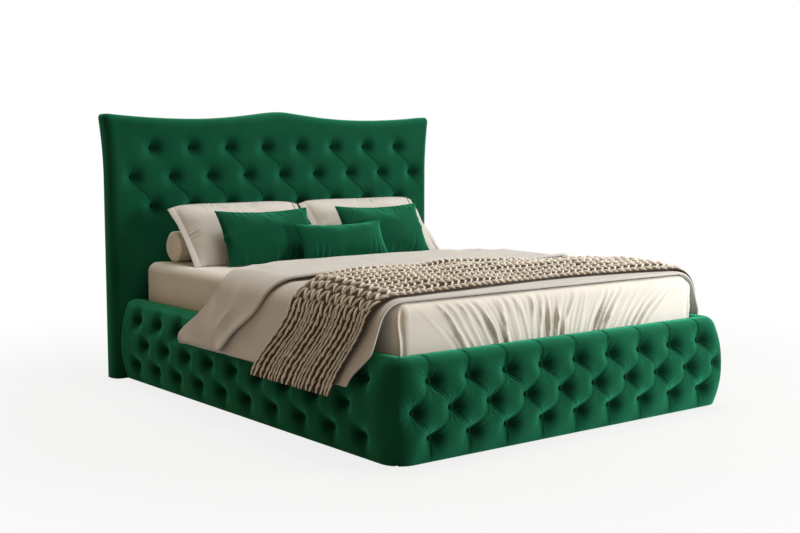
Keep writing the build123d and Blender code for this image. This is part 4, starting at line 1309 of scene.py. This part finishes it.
@dataclass
class Duvet:
    """The duvet with its turned-down head end."""

    finishes: Finishes
    drape: Drape
    hem: float = 0.268
    foot: float = -0.95
    head: float = 0.385
    turn_foot: float = -0.212
    fold: float = 0.014
    clear: float = 0.003
    thickness: float = 0.012
    step: float = 0.016
    under_rows: int = 84
    fold_rows: int = 7
    over_rows: int = 44
    foot_roll: float = 0.045
    roll_from: float = -0.937
    foot_rise: float = 0.085
    head_dip: float = 0.22
    head_flare: float = 0.2
    turn_flare: float = 0.175
    wave_pitch: float = 0.23
    wave_height: float = 0.015
    crease_height: float = 0.015
    ridge_height: float = 0.015
    edge_height: float = 0.011
    edge_width: float = 0.045

    def edges(self, s: Array) -> tuple[Array, Array, Array]:
        """Foot edge, head fold and the turned-down part's foot edge at each place across.

        Args:
            s: Distance across.

        Returns:
            Distance along the bed of the three edges.
        """
        away = np.abs(s)
        foot = self.foot + self.foot_rise * ease(away, 0.98, 1.12)
        head = self.head - self.head_dip * ease(away, 0.38, 0.88) + self.head_flare * ease(away, 0.8, 1.17)
        turned = self.turn_foot - 0.03 * ease(away, 0.3, 0.75) + 0.06 * ease(away, 0.75, 0.9)
        return foot, head, turned + self.turn_flare * ease(away, 0.86, 1.14)

    def build(self) -> None:
        """Make the duvet as one cloth that runs up the bed, folds at the head edge and comes back on itself.

        Over the foot edge of the mattress it rolls down on an arc.
        """
        reach = self.drape.reach(self.hem)
        s = np.linspace(-reach, reach, int(2 * reach / self.step))
        foot, head, turned = self.edges(s)
        under = np.linspace(0, 1, self.under_rows)[:, None]
        bend = np.linspace(0, np.pi, self.fold_rows + 2)[1:-1, None]
        over = np.linspace(0, 1, self.over_rows)[:, None]
        y = np.concatenate([foot + (head - foot) * under, head + self.fold * np.sin(bend),
                            head + (turned - head) * over])
        lift = np.concatenate([0 * under, self.fold * (1 - np.cos(bend)), 0 * over + 2 * self.fold]) + 0 * s
        across = np.broadcast_to(s, y.shape)
        upper = lift > self.fold
        shrink = np.where(upper, 1 - 0.006 * ease(np.abs(across), 0.88, 1.13), 1.0)
        lift = lift + self.wrinkles(across, y, upper, y - turned)
        points = self.drape.point(across * shrink, y, lift + self.clear)
        past_edge = np.clip(self.roll_from - points[..., 1], 0, 0.04) * (np.abs(across) < 0.8)
        points[..., 2] -= self.foot_roll - np.sqrt(self.foot_roll**2 - past_edge**2)
        uv = np.stack(np.broadcast_arrays(s[None, :], self.step * np.arange(len(y))[:, None]), axis=-1)
        duvet = make_mesh("duvet_cover", points, grid_faces(*y.shape), uv)
        thicken(duvet, self.thickness)
        subdivide(duvet)
        self.finishes.dress(duvet, DUVET_COTTON)
        declare(duvet, "duvet", ["duvet"])

    def wrinkles(self, s: Array, y: Array, upper: Array, from_edge: Array) -> Array:
        """Soft folds: waves and ridges on the drops, creases in from the head fold, a raised turned edge.

        The thin ridges lie where noise passes through zero. What the throw covers stays flatter.

        Args:
            s: Distance across.
            y: Distance along.
            upper: Whether the place is on the turned-down layer.
            from_edge: Distance from the turned-down layer's foot edge.

        Returns:
            Lift of the cloth.
        """
        away = np.abs(s)
        drop = ease(away, 0.86, 1.1)
        covered = ease(y, -0.16, 0.0) * 0.7 + 0.3
        waves = np.sin(2 * np.pi * (y + 0.18 * away) / self.wave_pitch + 1.5 * noise(y * 4, away * 3, 21))
        lift = self.wave_height * drop * (0.55 + 0.45 * waves) * covered
        crease = np.abs(noise(s * 6 + 2.2 * y, (y - s * 0.4) * 13, 22))
        near_head = ease(y, 0.0, 0.3) * ease(away, 0.2, 0.7) * (1 - 0.6 * drop)
        lift = lift + upper * near_head * self.crease_height * (0.5 - crease)
        ridge = (1 - np.abs(noise(away * 4 + 2.4 * y, 2.2 * y - 1.6 * away, 26))) ** 5
        lift = lift + self.ridge_height * ease(away, 0.8, 1.0) * ridge * covered
        edge = (self.edge_height + 0.005 * np.sin(9 * s)) * bump(from_edge, 0.0, self.edge_width)
        lift = lift + upper * edge
        lift = lift + covered * (0.004 * noise(s * 3, y * 3, 23) + 0.0015 * noise(s * 9, y * 9, 24))
        return np.maximum(lift + 0.002, 0.0)


@dataclass
class Throw:
    """The chunky knitted throw laid across the bed."""

    finishes: Finishes
    drape: Drape
    hem: float = 0.222
    width: float = 0.62
    foot: float = -0.865
    head: float = -0.235
    clear: float = 0.0215
    thickness: float = 0.004
    shade_rows: int = 60
    shade_columns: int = 210
    columns: int = 10
    stitch: float = 0.036
    lobe_points: int = 7
    lobe_length: float = 0.88
    lobe_width: float = 0.079
    lobe_height: float = 0.0072
    lobe_slant: float = 0.36
    lobe_apart: float = 0.25
    crumple: float = 0.011
    fine_crumple: float = 0.008
    ridge: float = 0.02
    edge_ridge: float = 0.016
    hang_lift: float = 0.011
    hang_wave: float = 0.007

    def edges(self, s: Array) -> tuple[Array, Array]:
        """Foot edge and head edge at each place across.

        Args:
            s: Distance across.

        Returns:
            Distance along the bed of the two edges.
        """
        away = np.abs(s)
        foot = self.foot + 0.03 * np.sin(4.2 * s + 1.0) - 0.03 * ease(away, 0.5, 0.85)
        head = self.head - 0.06 * ease(np.abs(s - 0.15), 0.1, 0.6) - 0.1 * ease(away, 0.5, 0.85)
        return foot + 0.06 * ease(away, 0.9, 1.15), head + 0.13 * ease(away, 0.9, 1.17)

    def surface(self, s: Array, v: Array, lift: Array) -> Array:
        """Places on the throw, which follows the bedding with crumples from noise and two long ridges.

        Args:
            s: Distance across.
            v: Share of the way from the foot edge to the head edge.
            lift: Distance outside the throw's underside.

        Returns:
            Places.
        """
        foot, head = self.edges(s)
        away = np.abs(s)
        level = 1 - ease(away, 0.74, 0.9)
        crumple = self.crumple * (1 + noise(s * 3.2 + 5, v * 2.3, 31))
        crumple = crumple + self.fine_crumple * (1 + noise(s * 6, v * 4 + 2, 32))
        ridge = self.ridge * bump(v + 0.14 * np.sin(2.4 * s + 0.6), 0.6, 0.14) * (0.7 + 0.3 * np.sin(5 * s))
        ridge = ridge + self.edge_ridge * bump(v, 0.93, 0.08) * (0.6 + 0.4 * np.sin(4 * s + 2))
        inside = ease(v, -0.02, 0.12) * ease(1 - v, -0.02, 0.1)
        height = self.clear + level * np.maximum(crumple + ridge - 0.006, 0) * inside
        waves = np.sin(2 * np.pi * v * 3 + 2 * away)
        height = height + (1 - level) * (self.hang_lift + self.hang_wave * waves)
        return self.drape.point(s, foot + v * (head - foot), height + lift)

    def build(self) -> None:
        """Make a dark sheet under the stitches, painted shade for the knit's gaps, and the cream stitches on
        it.
        """
        reach = self.drape.reach(self.hem)
        s, v = np.meshgrid(np.linspace(-reach, reach, self.shade_columns),
                           np.linspace(0, 1, self.shade_rows))
        uv = np.stack([s, self.width * v], axis=-1)
        shade_sheet = make_mesh("throw_gap_shade", self.surface(s, v, 0 * s), grid_faces(*s.shape), uv)
        thicken(shade_sheet, self.thickness)
        self.finishes.dress(shade_sheet, KNIT_SHADE)
        stitches = self.stitches(reach)
        self.finishes.dress(stitches, KNIT_YARN)
        for piece in (shade_sheet, stitches):
            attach(piece, "throw")
            LOG.info("%s: %d faces", piece.name, len(piece.data.polygons))
        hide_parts("throw")

    def stitches(self, reach: float) -> Piece:
        """Knit stitches in columns that run across the bed: each is a V of two plump lobes.

        A lobe is a spindle with an oval section whose axis slants from the column's edge to its middle; in
        the column's own coordinates t runs along it, and its half-width is sin(pi t) raised to a power. On
        the drops the lobes are longer, thinner and more upright.

        Args:
            reach: Distance across to the hem.

        Returns:
            All the stitches as one piece.
        """
        rows = int(2 * reach / self.stitch)
        layout = np.meshgrid(np.arange(self.columns), np.arange(rows), [-1, 1], indexing="ij")
        column, row, hand = (part.ravel()[:, None, None] for part in layout)
        jitter = np.random.default_rng(41).uniform(-1, 1, (len(column), 4))[:, :, None, None]
        t = np.linspace(0, 1, self.lobe_points)[None, :, None]
        angle = np.linspace(0, 2 * np.pi, self.lobe_points, endpoint=False)[None, None, :]
        hanging = ease(np.abs(-reach + (row + 0.5) * self.stitch), 0.8, 0.92)
        girth = np.sin(np.pi * (0.05 + 0.9 * t)) ** 0.55 * (1 - 0.27 * hanging) * (1 + 0.12 * jitter[:, 3])
        slant = self.lobe_slant - 0.17 * hanging
        along = (t - 0.5) * (self.lobe_length + 0.69 * hanging) + 0.5 + 0.08 * jitter[:, 0]
        aside = hand * (self.lobe_apart + slant * (t - 0.5)) + 0.02 * jitter[:, 1]
        aside = aside + 0.06 * hanging * np.sin(7 * row * self.stitch)
        s = -reach + (row + along) * self.stitch + 0 * angle
        half = (self.lobe_width + 0.003 * hanging) * girth
        v = (column + 0.5 + aside + half * np.cos(angle)) / self.columns
        arch = 0.005 + (0.005 - 0.002 * hanging) * np.sin(np.pi * t) + 0.0015 * jitter[:, 2]
        lift = arch + (self.lobe_height - 0.001 * hanging) * girth * np.sin(angle)
        points = self.surface(np.clip(s, -reach, reach), np.clip(v, 0, 1), lift)
        ring = grid_faces(self.lobe_points, self.lobe_points, closed=True)
        faces = (np.arange(len(points))[:, None, None] * self.lobe_points**2 + ring[None]).reshape(-1, 4)
        LOG.info("throw_stitches: %d lobes", len(points))
        return make_mesh("throw_stitches", points, faces)


# Pillows, cushions and bolster


def pouch_faces(rows: int, columns: int) -> tuple[Array, Array, Array]:
    """Faces of a front and a back grid that share their rim.

    The front's points come first, row by row, then the back's points that aren't on the rim.

    Args:
        rows: Rows of points in each grid.
        columns: Points in each row.

    Returns:
        Faces, a mask of the grid's rim points, and the rim's point numbers in order round it.
    """
    i, j = np.divmod(np.arange(rows * columns), columns)
    on_rim = (i == 0) | (i == rows - 1) | (j == 0) | (j == columns - 1)
    number = np.where(on_rim, np.arange(on_rim.size), on_rim.size + np.cumsum(~on_rim) - 1)
    faces = grid_faces(rows, columns)
    rim = np.concatenate([np.arange(columns), np.arange(1, rows) * columns + columns - 1,
                          np.arange(columns - 2, -1, -1) + (rows - 1) * columns,
                          np.arange(rows - 2, 0, -1) * columns])
    return np.concatenate([faces, number[faces][:, ::-1]]), on_rim, rim


def finer_weights(count: int, times: int) -> Array:
    """Weights that carry a row of values to times as many places on a Catmull-Rom curve through them.

    Args:
        count: Values in the row.
        times: New steps for each old step.

    Returns:
        Matrix with one row for each new place.
    """
    place = np.linspace(0, count - 1, (count - 1) * times + 1)
    start = np.minimum(place.astype(int), count - 2)
    f = place - start
    shares = ((-f + 2 * f**2 - f**3) / 2, (2 - 5 * f**2 + 3 * f**3) / 2, (f + 4 * f**2 - 3 * f**3) / 2,
              (f**3 - f**2) / 2)
    weights = np.zeros((len(place), count))
    for offset, share in zip((-1, 0, 1, 2), shares):
        np.add.at(weights, (np.arange(len(place)), np.clip(start + offset, 0, count - 1)), share)
    return weights


FILL_FRAMES = 26


@dataclass
class Stuffed:
    """A stuffed cushion or pillow that leans against what is behind it."""

    node: str
    width: float
    height: float
    thickness: float
    x: float
    y: float
    lean: float
    rest: float = 0.5735
    flap: float = 0.0
    draw: float = 0.017
    droop: float = 0.0
    pucker: float = 0.003
    pucker_length: float = 0.03
    pucker_pitch: float = 0.032
    softness: float = 0.0035
    seam: float = 0.0025
    flap_bow: float = 0.007
    flap_fall: float = 0.012
    flap_wave: float = 0.008
    flap_back: float = 0.01
    seed: int = 70
    step: float = 0.0125
    times: int = 3
    smoothing: int = 24
    rows: int = 0
    columns: int = 0
    piece: Optional[Piece] = None

    @property
    def body(self) -> Array:
        """Width, height and thickness of the filled part."""
        return np.array([self.width - 2 * self.flap, self.height, self.thickness])

    def flat_sheets(self) -> None:
        """Two flat panels joined round their edge, a little apart in the middle, ready to be filled."""
        wide, high, _ = self.body
        self.columns, self.rows = int(wide / self.step) + 1, int(high / self.step) + 1
        a, b = np.meshgrid(np.linspace(-1, 1, self.columns), np.linspace(-1, 1, self.rows))
        dome = 0.02 * ((1 - a**2) * (1 - b**2)) ** 0.5
        front = np.stack([a * wide / 2, b * high / 2, dome], axis=-1).reshape(-1, 3)
        faces, on_rim, _ = pouch_faces(self.rows, self.columns)
        back = (front * np.array([1, 1, -1]))[~on_rim]
        self.piece = make_mesh(self.node + "_cover", np.concatenate([front, back]), faces)

    def fill(self) -> None:
        """Put Blender's cloth on the panels, with pressure inside and no weight."""
        cloth = self.piece.modifiers.new("filling", "CLOTH")
        settings = cloth.settings
        settings.quality = 5
        settings.mass = 0.25
        settings.tension_stiffness = 20
        settings.compression_stiffness = 20
        settings.shear_stiffness = 8
        settings.bending_stiffness = 0.15
        settings.use_pressure = True
        settings.uniform_pressure_force = 4.0
        settings.effector_weights.gravity = 0
        cloth.collision_settings.use_collision = False
        cloth.point_cache.frame_start, cloth.point_cache.frame_end = 1, FILL_FRAMES

    def filled(self) -> tuple[Array, Array]:
        """The front and the back panel as they are now, as grids.

        Returns:
            Places of the front and of the back.
        """
        evaluated = self.piece.evaluated_get(bpy.context.evaluated_depsgraph_get())
        places = np.empty(len(self.piece.data.vertices) * 3)
        evaluated.to_mesh().vertices.foreach_get("co", places)
        places = places.reshape(-1, 3)
        _, on_rim, _ = pouch_faces(self.rows, self.columns)
        front, back = places[: on_rim.size], places[: on_rim.size].copy()
        back[~on_rim] = places[on_rim.size:]
        shape = (self.rows, self.columns, 3)
        return front.reshape(shape), back.reshape(shape)

    def settle(self) -> None:
        """Keep the filled shape on a finer grid, fitted to the cushion's size, and stand it in its place.

        The plane leans back by the lean angle, and its lower edge stands at the rest height.
        """
        up_weights = finer_weights(self.rows, self.times)
        side_weights = finer_weights(self.columns, self.times)
        front, back = (self.shape(np.einsum("ij,jkc,lk->ilc", up_weights, grid, side_weights), side)
                       for grid, side in zip(self.filled(), (1, -1)))
        faces, on_rim, rim = pouch_faces(*front.shape[:2])
        points = np.concatenate([front.reshape(-1, 3), back.reshape(-1, 3)[~on_rim]])
        if self.flap:
            points, faces = self.add_flaps(points, faces, rim, front.shape)
        tilt = np.radians(self.lean)
        up, out = np.array([0, np.sin(tilt), np.cos(tilt)]), np.array([0, -np.cos(tilt), np.sin(tilt)])
        places = np.array([self.x, self.y, self.rest]) + points[:, :1] * np.array([1, 0, 0])
        places = places + (points[:, 1:2] + self.height / 2) * up + points[:, 2:] * out
        name = self.piece.name
        bpy.data.objects.remove(self.piece)
        self.piece = make_mesh(name, places, faces)

    def shape(self, grid: Array, side: int) -> Array:
        """Fit one filled panel to its size, even out its edges, and gather its seams.

        The panel is scaled to the body's size, and its move from the flat panel is evened out: each point
        takes the mean of its neighbours' moves, a number of times. Each edge then moves to a parabola whose
        middle the filling draws in, less at the foot, and the move fades inwards with the cube of the
        distance across.

        Args:
            grid: Filled panel.
            side: 1 for the front, -1 for the back.

        Returns:
            The fitted panel about the origin.
        """
        rows, columns = grid.shape[:2]
        a, b = np.meshgrid(np.linspace(-1, 1, columns), np.linspace(-1, 1, rows))
        corners = grid[[0, 0, -1, -1], [0, -1, 0, -1]]
        low, high = corners.min(axis=0), corners.max(axis=0)
        flat = np.stack([a * self.body[0] / 2, b * self.body[1] / 2, 0 * a], axis=-1)
        moved = (grid - (low + high) / 2) * np.append(self.body[:2] / (high - low)[:2], 1.0) - flat
        moved[..., 2] = np.abs(grid[..., 2])
        for _ in range(self.smoothing):
            moved[1:-1, 1:-1] = (moved[:-2, 1:-1] + moved[2:, 1:-1] + moved[1:-1, :-2] + moved[1:-1, 2:]) / 4
        moved[..., 2] *= side * self.body[2] / 2 / max(moved[..., 2].max(), 1e-6)
        fitted = flat + moved
        for axis, across, along in ((0, a, b), (1, b, a)):
            lines = np.moveaxis(fitted[..., axis], 1 - axis, 0)
            first, last = (np.expand_dims(line, 1 - axis) for line in (lines[0].copy(), lines[-1].copy()))
            bow = self.draw * (1 - along**2) * np.where((axis == 0) | (across > 0), 1.0, 0.3)
            wanted = np.sign(across) * (self.body[axis] / 2 - bow)
            fitted[..., axis] += np.abs(across) ** 3 * (wanted - np.where(across < 0, first, last))
        fitted[..., 1] -= self.droop * np.abs(a) ** 5 * ease(b, 0.0, 1.0)
        fitted[..., 2] += side * self.puckers(a, b, side)
        return fitted

    def puckers(self, a: Array, b: Array, side: int) -> Array:
        """Gathers along the upper and lower seams: thin creases that fade with distance, broken by noise.

        Args:
            a: Places across, from -1 to 1.
            b: Places up, from -1 to 1.
            side: 1 for the front, -1 for the back.

        Returns:
            Extra thickness for each point.
        """
        x = a * self.width / 2
        from_edge = (1 - np.abs(b)) * self.height / 2
        seed = self.seed + 3 * (side < 0)
        bent = x + 0.5 * from_edge * noise(x * 7 + 3 * np.sign(b), 0 * x, seed)
        phase = 2 * np.pi * bent / self.pucker_pitch + 3 * noise(bent * 11, np.sign(b), seed + 1)
        creases = (0.5 + 0.5 * np.cos(phase)) ** 4
        broken = ease(noise(x * 6, 2 * np.sign(b), seed + 2), -0.15, 0.35)
        reach = self.pucker_length * (1 + 0.7 * noise(bent * 25, np.sign(b), seed + 4))
        gathers = self.pucker * (0.25 - creases) * broken * bump(from_edge, 0.0, reach)
        gathers = gathers * ease(from_edge, 0, 0.012) * ease(1 - np.abs(a), 0.06, 0.4)
        soft = self.softness * noise(x * 6, b * self.height * 4, seed + 5)
        return gathers + soft * ease(1 - np.abs(a), 0.0, 0.2) * ease(1 - np.abs(b), 0.0, 0.25)

    def add_flaps(self, points: Array, faces: Array, rim: Array,
                  shape: tuple[int, ...]) -> tuple[Array, Array]:
        """Sew a flat flap of two layers on both ends of a pillow, and a narrow seam along its long edges.

        Each ring of the flap lies on the way from the body's edge to an upright line at the pillow's full
        width; near the corners of the long edges the way grows from the seam's width to the flap's.

        Args:
            points: Filled pillow.
            faces: Its faces.
            rim: Point numbers round the rim.
            shape: Rows and columns of the front grid.

        Returns:
            Places and faces with the flaps.
        """
        i, j = np.divmod(rim, shape[1])
        a, b = 2 * j / (shape[1] - 1) - 1, 2 * i / (shape[0] - 1) - 1
        edge = points[rim]
        corner = ease(np.abs(a), 0.955, 1.0)
        outer = edge.copy()
        outer[:, 0] += corner * np.sign(a) * (self.flap - self.flap_bow * (1 - b**2))
        outer[:, 1] += np.sign(b) * (np.abs(b) == 1) * (self.seam - self.flap_fall * corner * (b > 0))
        run = np.linspace(0, 1, len(edge), endpoint=False)
        wave = corner * (self.flap_wave * noise(run * 24, 0 * run + self.seed, 51) - self.flap_back)
        profile = ((0.0, 0.004), (0.12, 0.0016), (0.3, 0.0028), (0.85, 0.0028), (1.0, 0.0))
        layers = []
        for side in (1, -1):
            for share, half in profile:
                ring = edge + share * (outer - edge)
                ring[:, 2] = edge[:, 2] + share * wave + side * half * (0.25 + 0.75 * corner)
                layers.append(ring)
        front = len(points)
        back = front + len(profile) * len(edge)
        strip = grid_faces(len(profile), len(edge), closed=True)
        joined = np.concatenate([faces, strip[:, ::-1] + front, strip + back])
        return np.concatenate([points] + layers), joined


PILLOW = partial(Stuffed, width=0.735, height=0.386, thickness=0.15, y=0.633, lean=45.0, flap=0.036,
                 draw=0.003, pucker=0.011, pucker_length=0.05)
CUSHION = partial(Stuffed, width=0.515, height=0.285, thickness=0.124, y=0.534, lean=28.0, pucker=0.008,
                  pucker_length=0.046)


@dataclass
class Cushions:
    """The pillows and velvet cushions, filled together in one cloth run."""

    finishes: Finishes
    stuffed: tuple[Stuffed, ...] = field(default_factory=lambda: (
        PILLOW("pillow_left", x=-0.372, droop=0.014, seed=71),
        PILLOW("pillow_right", x=0.372, droop=0.01, seed=81),
        CUSHION("cushion_left", x=-0.36, seed=91),
        CUSHION("cushion_right", x=0.322, seed=101),
        CUSHION("lumbar_cushion", width=0.512, height=0.21, thickness=0.1, x=-0.024, y=0.417, pucker=0.01,
                pucker_length=0.058, seed=111),
    ))

    def build(self) -> None:
        """Fill, settle and dress every cushion."""
        for cushion in self.stuffed:
            cushion.flat_sheets()
            cushion.fill()
        scene = bpy.context.scene
        for count in range(1, FILL_FRAMES + 1):
            scene.frame_set(count)
        for cushion in self.stuffed:
            cushion.settle()
            finish = PILLOW_COTTON if cushion.flap else CUSHION_VELVET
            self.finishes.dress(cushion.piece, finish)
            declare(cushion.piece, cushion.node, [cushion.node])
        scene.frame_set(1)


@dataclass
class Bolster:
    """The long bolster behind the pillows."""

    finishes: Finishes
    radius: float = 0.074
    half: float = 0.71
    y: float = 0.918
    z: float = 0.645
    end_radius: float = 0.024
    end_bulge: float = 0.006
    end_points: int = 12
    length_points: int = 150
    around: int = 96
    pucker: float = 0.0014
    pucker_count: int = 26
    cord: float = 0.0028
    softness: float = 0.0015

    def profile(self) -> tuple[Array, Array]:
        """The outline to turn: a bulging disc, a rounded edge and an even middle, then the same mirrored.

        Returns:
            Places along the length, and radii.
        """
        end = self.end_radius
        turn = np.linspace(0, np.pi / 2, self.end_points)[::-1]
        disc = np.linspace(0.02, 1, 9)[:-1]
        left_x = np.concatenate([-self.half + self.end_bulge * disc**2,
                                 -self.half + end * (1 - np.sin(turn))])
        left_r = np.concatenate([disc * (self.radius - end), self.radius - end + end * np.cos(turn)])
        body = np.linspace(-self.half + end, self.half - end, self.length_points)[1:-1]
        return (np.concatenate([left_x, body, -left_x[::-1]]),
                np.concatenate([left_r, np.full(len(body), self.radius), left_r[::-1]]))

    def build(self) -> None:
        """Make the bolster: a profile turned about its length, with a corded seam near each end.

        Shallow waves round the axis pucker the cloth beside the seams, and it lies flat below.
        """
        x, r = (line[:, None] for line in self.profile())
        angle = np.linspace(0, 2 * np.pi, self.around, endpoint=False)[None, :]
        inset = self.half - np.abs(x)
        pucker = np.sin(self.pucker_count * angle + 2 * noise(x * 8, angle * 2, 61))
        pucker = pucker * bump(inset, 0.045, 0.03)
        cord = self.cord * bump(inset, self.end_radius / 2, 0.0035)
        swell = self.pucker * pucker + cord + self.softness * noise(x * 7, angle * 1.2, 62)
        full = r + swell * ease(r, 0.02, 0.06)
        above = np.maximum(np.sin(angle) * full, -self.radius + 0.001)
        points = np.stack([np.broadcast_to(x, full.shape), self.y - np.cos(angle) * full, self.z + above],
                          axis=-1)
        bolster = make_mesh("bolster_cover", points, grid_faces(*full.shape, closed=True))
        self.finishes.dress(bolster, BOLSTER_COTTON)
        declare(bolster, "bolster", ["bolster"])


# Frame pieces and studio


@dataclass
class SlattedBase:
    """The CAD pieces that stay as they are, in better finishes."""

    finishes: Finishes

    def build(self) -> None:
        """Dress every wooden, steel and plastic piece."""
        for finish, nodes in (
                (PINE, ("centre_beam", "side_ledger_left", "side_ledger_right")),
                (CROSS_PINE, ("slats", "headboard_top_batten", "headboard_crossbars")),
                (UPRIGHT_PINE, ("centre_legs", "foot_corner_blocks", "headboard_posts",
                                "headboard_side_battens")),
                (PLYWOOD, ("headboard_panel", "foot_board", "side_board_left", "side_board_right")),
                (ZINC, ("head_brackets", "beam_hangers", "headboard_bolts", "side_board_bolts", "slat_screws",
                        "ledger_screws", "corner_screws", "hanger_screws")),
                (GLIDE_PLASTIC, ("board_glides", "headboard_glides", "leg_glides"))):
            self.finishes.dress_nodes(nodes, finish)


@dataclass(frozen=True)
class Lamp:
    """A square soft lamp: where it hangs, where it points, the length of its side and its power in watts."""

    name: str
    place: Place
    aim: Place
    size: float
    power: float

    def build(self) -> None:
        """Hang the lamp."""
        light = bpy.data.lights.new(self.name, "AREA")
        light.size, light.energy = self.size, self.power
        lamp = bpy.data.objects.new(self.name, light)
        lamp.location = self.place
        lamp.rotation_euler = (Vector(self.aim) - Vector(self.place)).to_track_quat("-Z", "Y").to_euler()
        bpy.context.scene.collection.objects.link(lamp)


@dataclass
class Studio:
    """Floor, light and camera."""

    eye: Place = (-3.4906, -4.4534, 1.1617)
    yaw: float = 37.79
    pitch: float = 5.872
    lens: float = 56.04
    sensor: float = 36.0
    lamps: tuple[Lamp, ...] = (Lamp("key", (2.9, -3.6, 1.2), (0.1, -0.7, 0.35), 1.1, 166),
                               Lamp("top", (0.4, 0.1, 4.2), (0, -0.2, 0.4), 2.4, 112))
    fill_colour: Colour = (1.0, 0.69, 0.42)
    fill_strength: float = 0.38
    floor_half: float = 30.0
    floor_colour: Colour = (0.5, 0.5, 0.495)
    floor_roughness: float = 0.9
    floor_white: float = 0.84
    fade_from: float = 1.2
    fade_to: float = 3.4

    def build(self) -> None:
        """Set up the plain white studio."""
        scene = bpy.context.scene
        scene.view_settings.view_transform = "Standard"
        self.world(scene)
        self.floor()
        for lamp in self.lamps:
            lamp.build()
        self.camera(scene)

    def world(self, scene: bpy.types.Scene) -> None:
        """White to the camera, to gloss and through glass, and a dim warm light on everything else.

        Args:
            scene: The scene to light.
        """
        world = bpy.data.worlds.new("studio")
        scene.world = world
        world.use_nodes = True
        tree = world.node_tree
        seen = set_inputs(tree, tree.nodes["Background"], Color=(1, 1, 1, 1), Strength=1.0)
        light = add_node(tree, "Background", Color=(*self.fill_colour, 1), Strength=self.fill_strength)
        self.mix(tree, self.sees_white(tree), light, seen, "World Output")

    def sees_white(self, tree: Tree) -> Socket:
        """Tell the rays that see plain white: those of the camera, of gloss and of transmission.

        Args:
            tree: Node tree to add to.

        Returns:
            Socket that is 1 for such rays and 0 for the rest.
        """
        path = add_node(tree, "LightPath").outputs
        mirrored = math_node(tree, "MAXIMUM", path["Is Glossy Ray"], path["Is Transmission Ray"])
        return math_node(tree, "MAXIMUM", path["Is Camera Ray"], mirrored)

    def mix(self, tree: Tree, share: Socket, first: Node, second: Node, output: str) -> None:
        """Mix two shaders and send them to an output.

        Args:
            tree: Their node tree.
            share: Socket with the share of the second.
            first: First shader.
            second: Second shader.
            output: Name of the output node.
        """
        mix = add_node(tree, "MixShader", Fac=share)
        tree.links.new(first.outputs[0], mix.inputs[1])
        tree.links.new(second.outputs[0], mix.inputs[2])
        tree.links.new(mix.outputs["Shader"], tree.nodes[output].inputs["Surface"])

    def floor(self) -> None:
        """A wide pale floor that keeps the bed's shadow and fades to white."""
        corner = np.array([[-1, -1], [1, -1], [1, 1], [-1, 1]]) * self.floor_half
        floor = make_mesh("floor", np.column_stack([corner, np.zeros(4)]), np.array([[0, 1, 2, 3]]))
        material, tree, shader = start_material("pale_floor")
        set_inputs(tree, shader, Base_Color=(*self.floor_colour, 1), Roughness=self.floor_roughness)
        glow = add_node(tree, "Emission", Color=(1, 1, 1, 1), Strength=1.0)
        away = tree.nodes.new("ShaderNodeVectorMath")
        away.operation = "LENGTH"
        tree.links.new(add_node(tree, "TexCoord").outputs["Object"], away.inputs[0])
        far = add_node(tree, "MapRange", Value=away.outputs["Value"], From_Min=self.fade_from,
                       From_Max=self.fade_to, To_Min=self.floor_white, To_Max=1.0)
        far.interpolation_type = "SMOOTHSTEP"
        share = math_node(tree, "MULTIPLY", self.sees_white(tree), far.outputs["Result"])
        self.mix(tree, share, shader, glow, "Material Output")
        floor.data.materials.append(material)

    def camera(self, scene: bpy.types.Scene) -> None:
        """Set up the photograph's viewpoint.

        Args:
            scene: The scene to look at.
        """
        data = bpy.data.cameras.new("camera")
        data.lens, data.sensor_width = self.lens, self.sensor
        camera = bpy.data.objects.new("camera", data)
        camera.location = self.eye
        camera.rotation_euler = Euler((np.radians(90 - self.pitch), 0, np.radians(-self.yaw)))
        scene.collection.objects.link(camera)
        scene.camera = camera


def main() -> None:
    """Build the bed's looks in order."""
    logging.basicConfig(level=logging.INFO, format="%(message)s")
    finishes = Finishes()
    drape = Drape()
    SlattedBase(finishes).build()
    Surround(finishes).build()
    Headboard(finishes).build()
    Mattress(finishes).build()
    Duvet(finishes, drape).build()
    Throw(finishes, drape).build()
    Cushions(finishes).build()
    Bolster(finishes).build()
    Studio().build()
    bpy.context.view_layer.update()


if __name__ == "__main__":
    main()
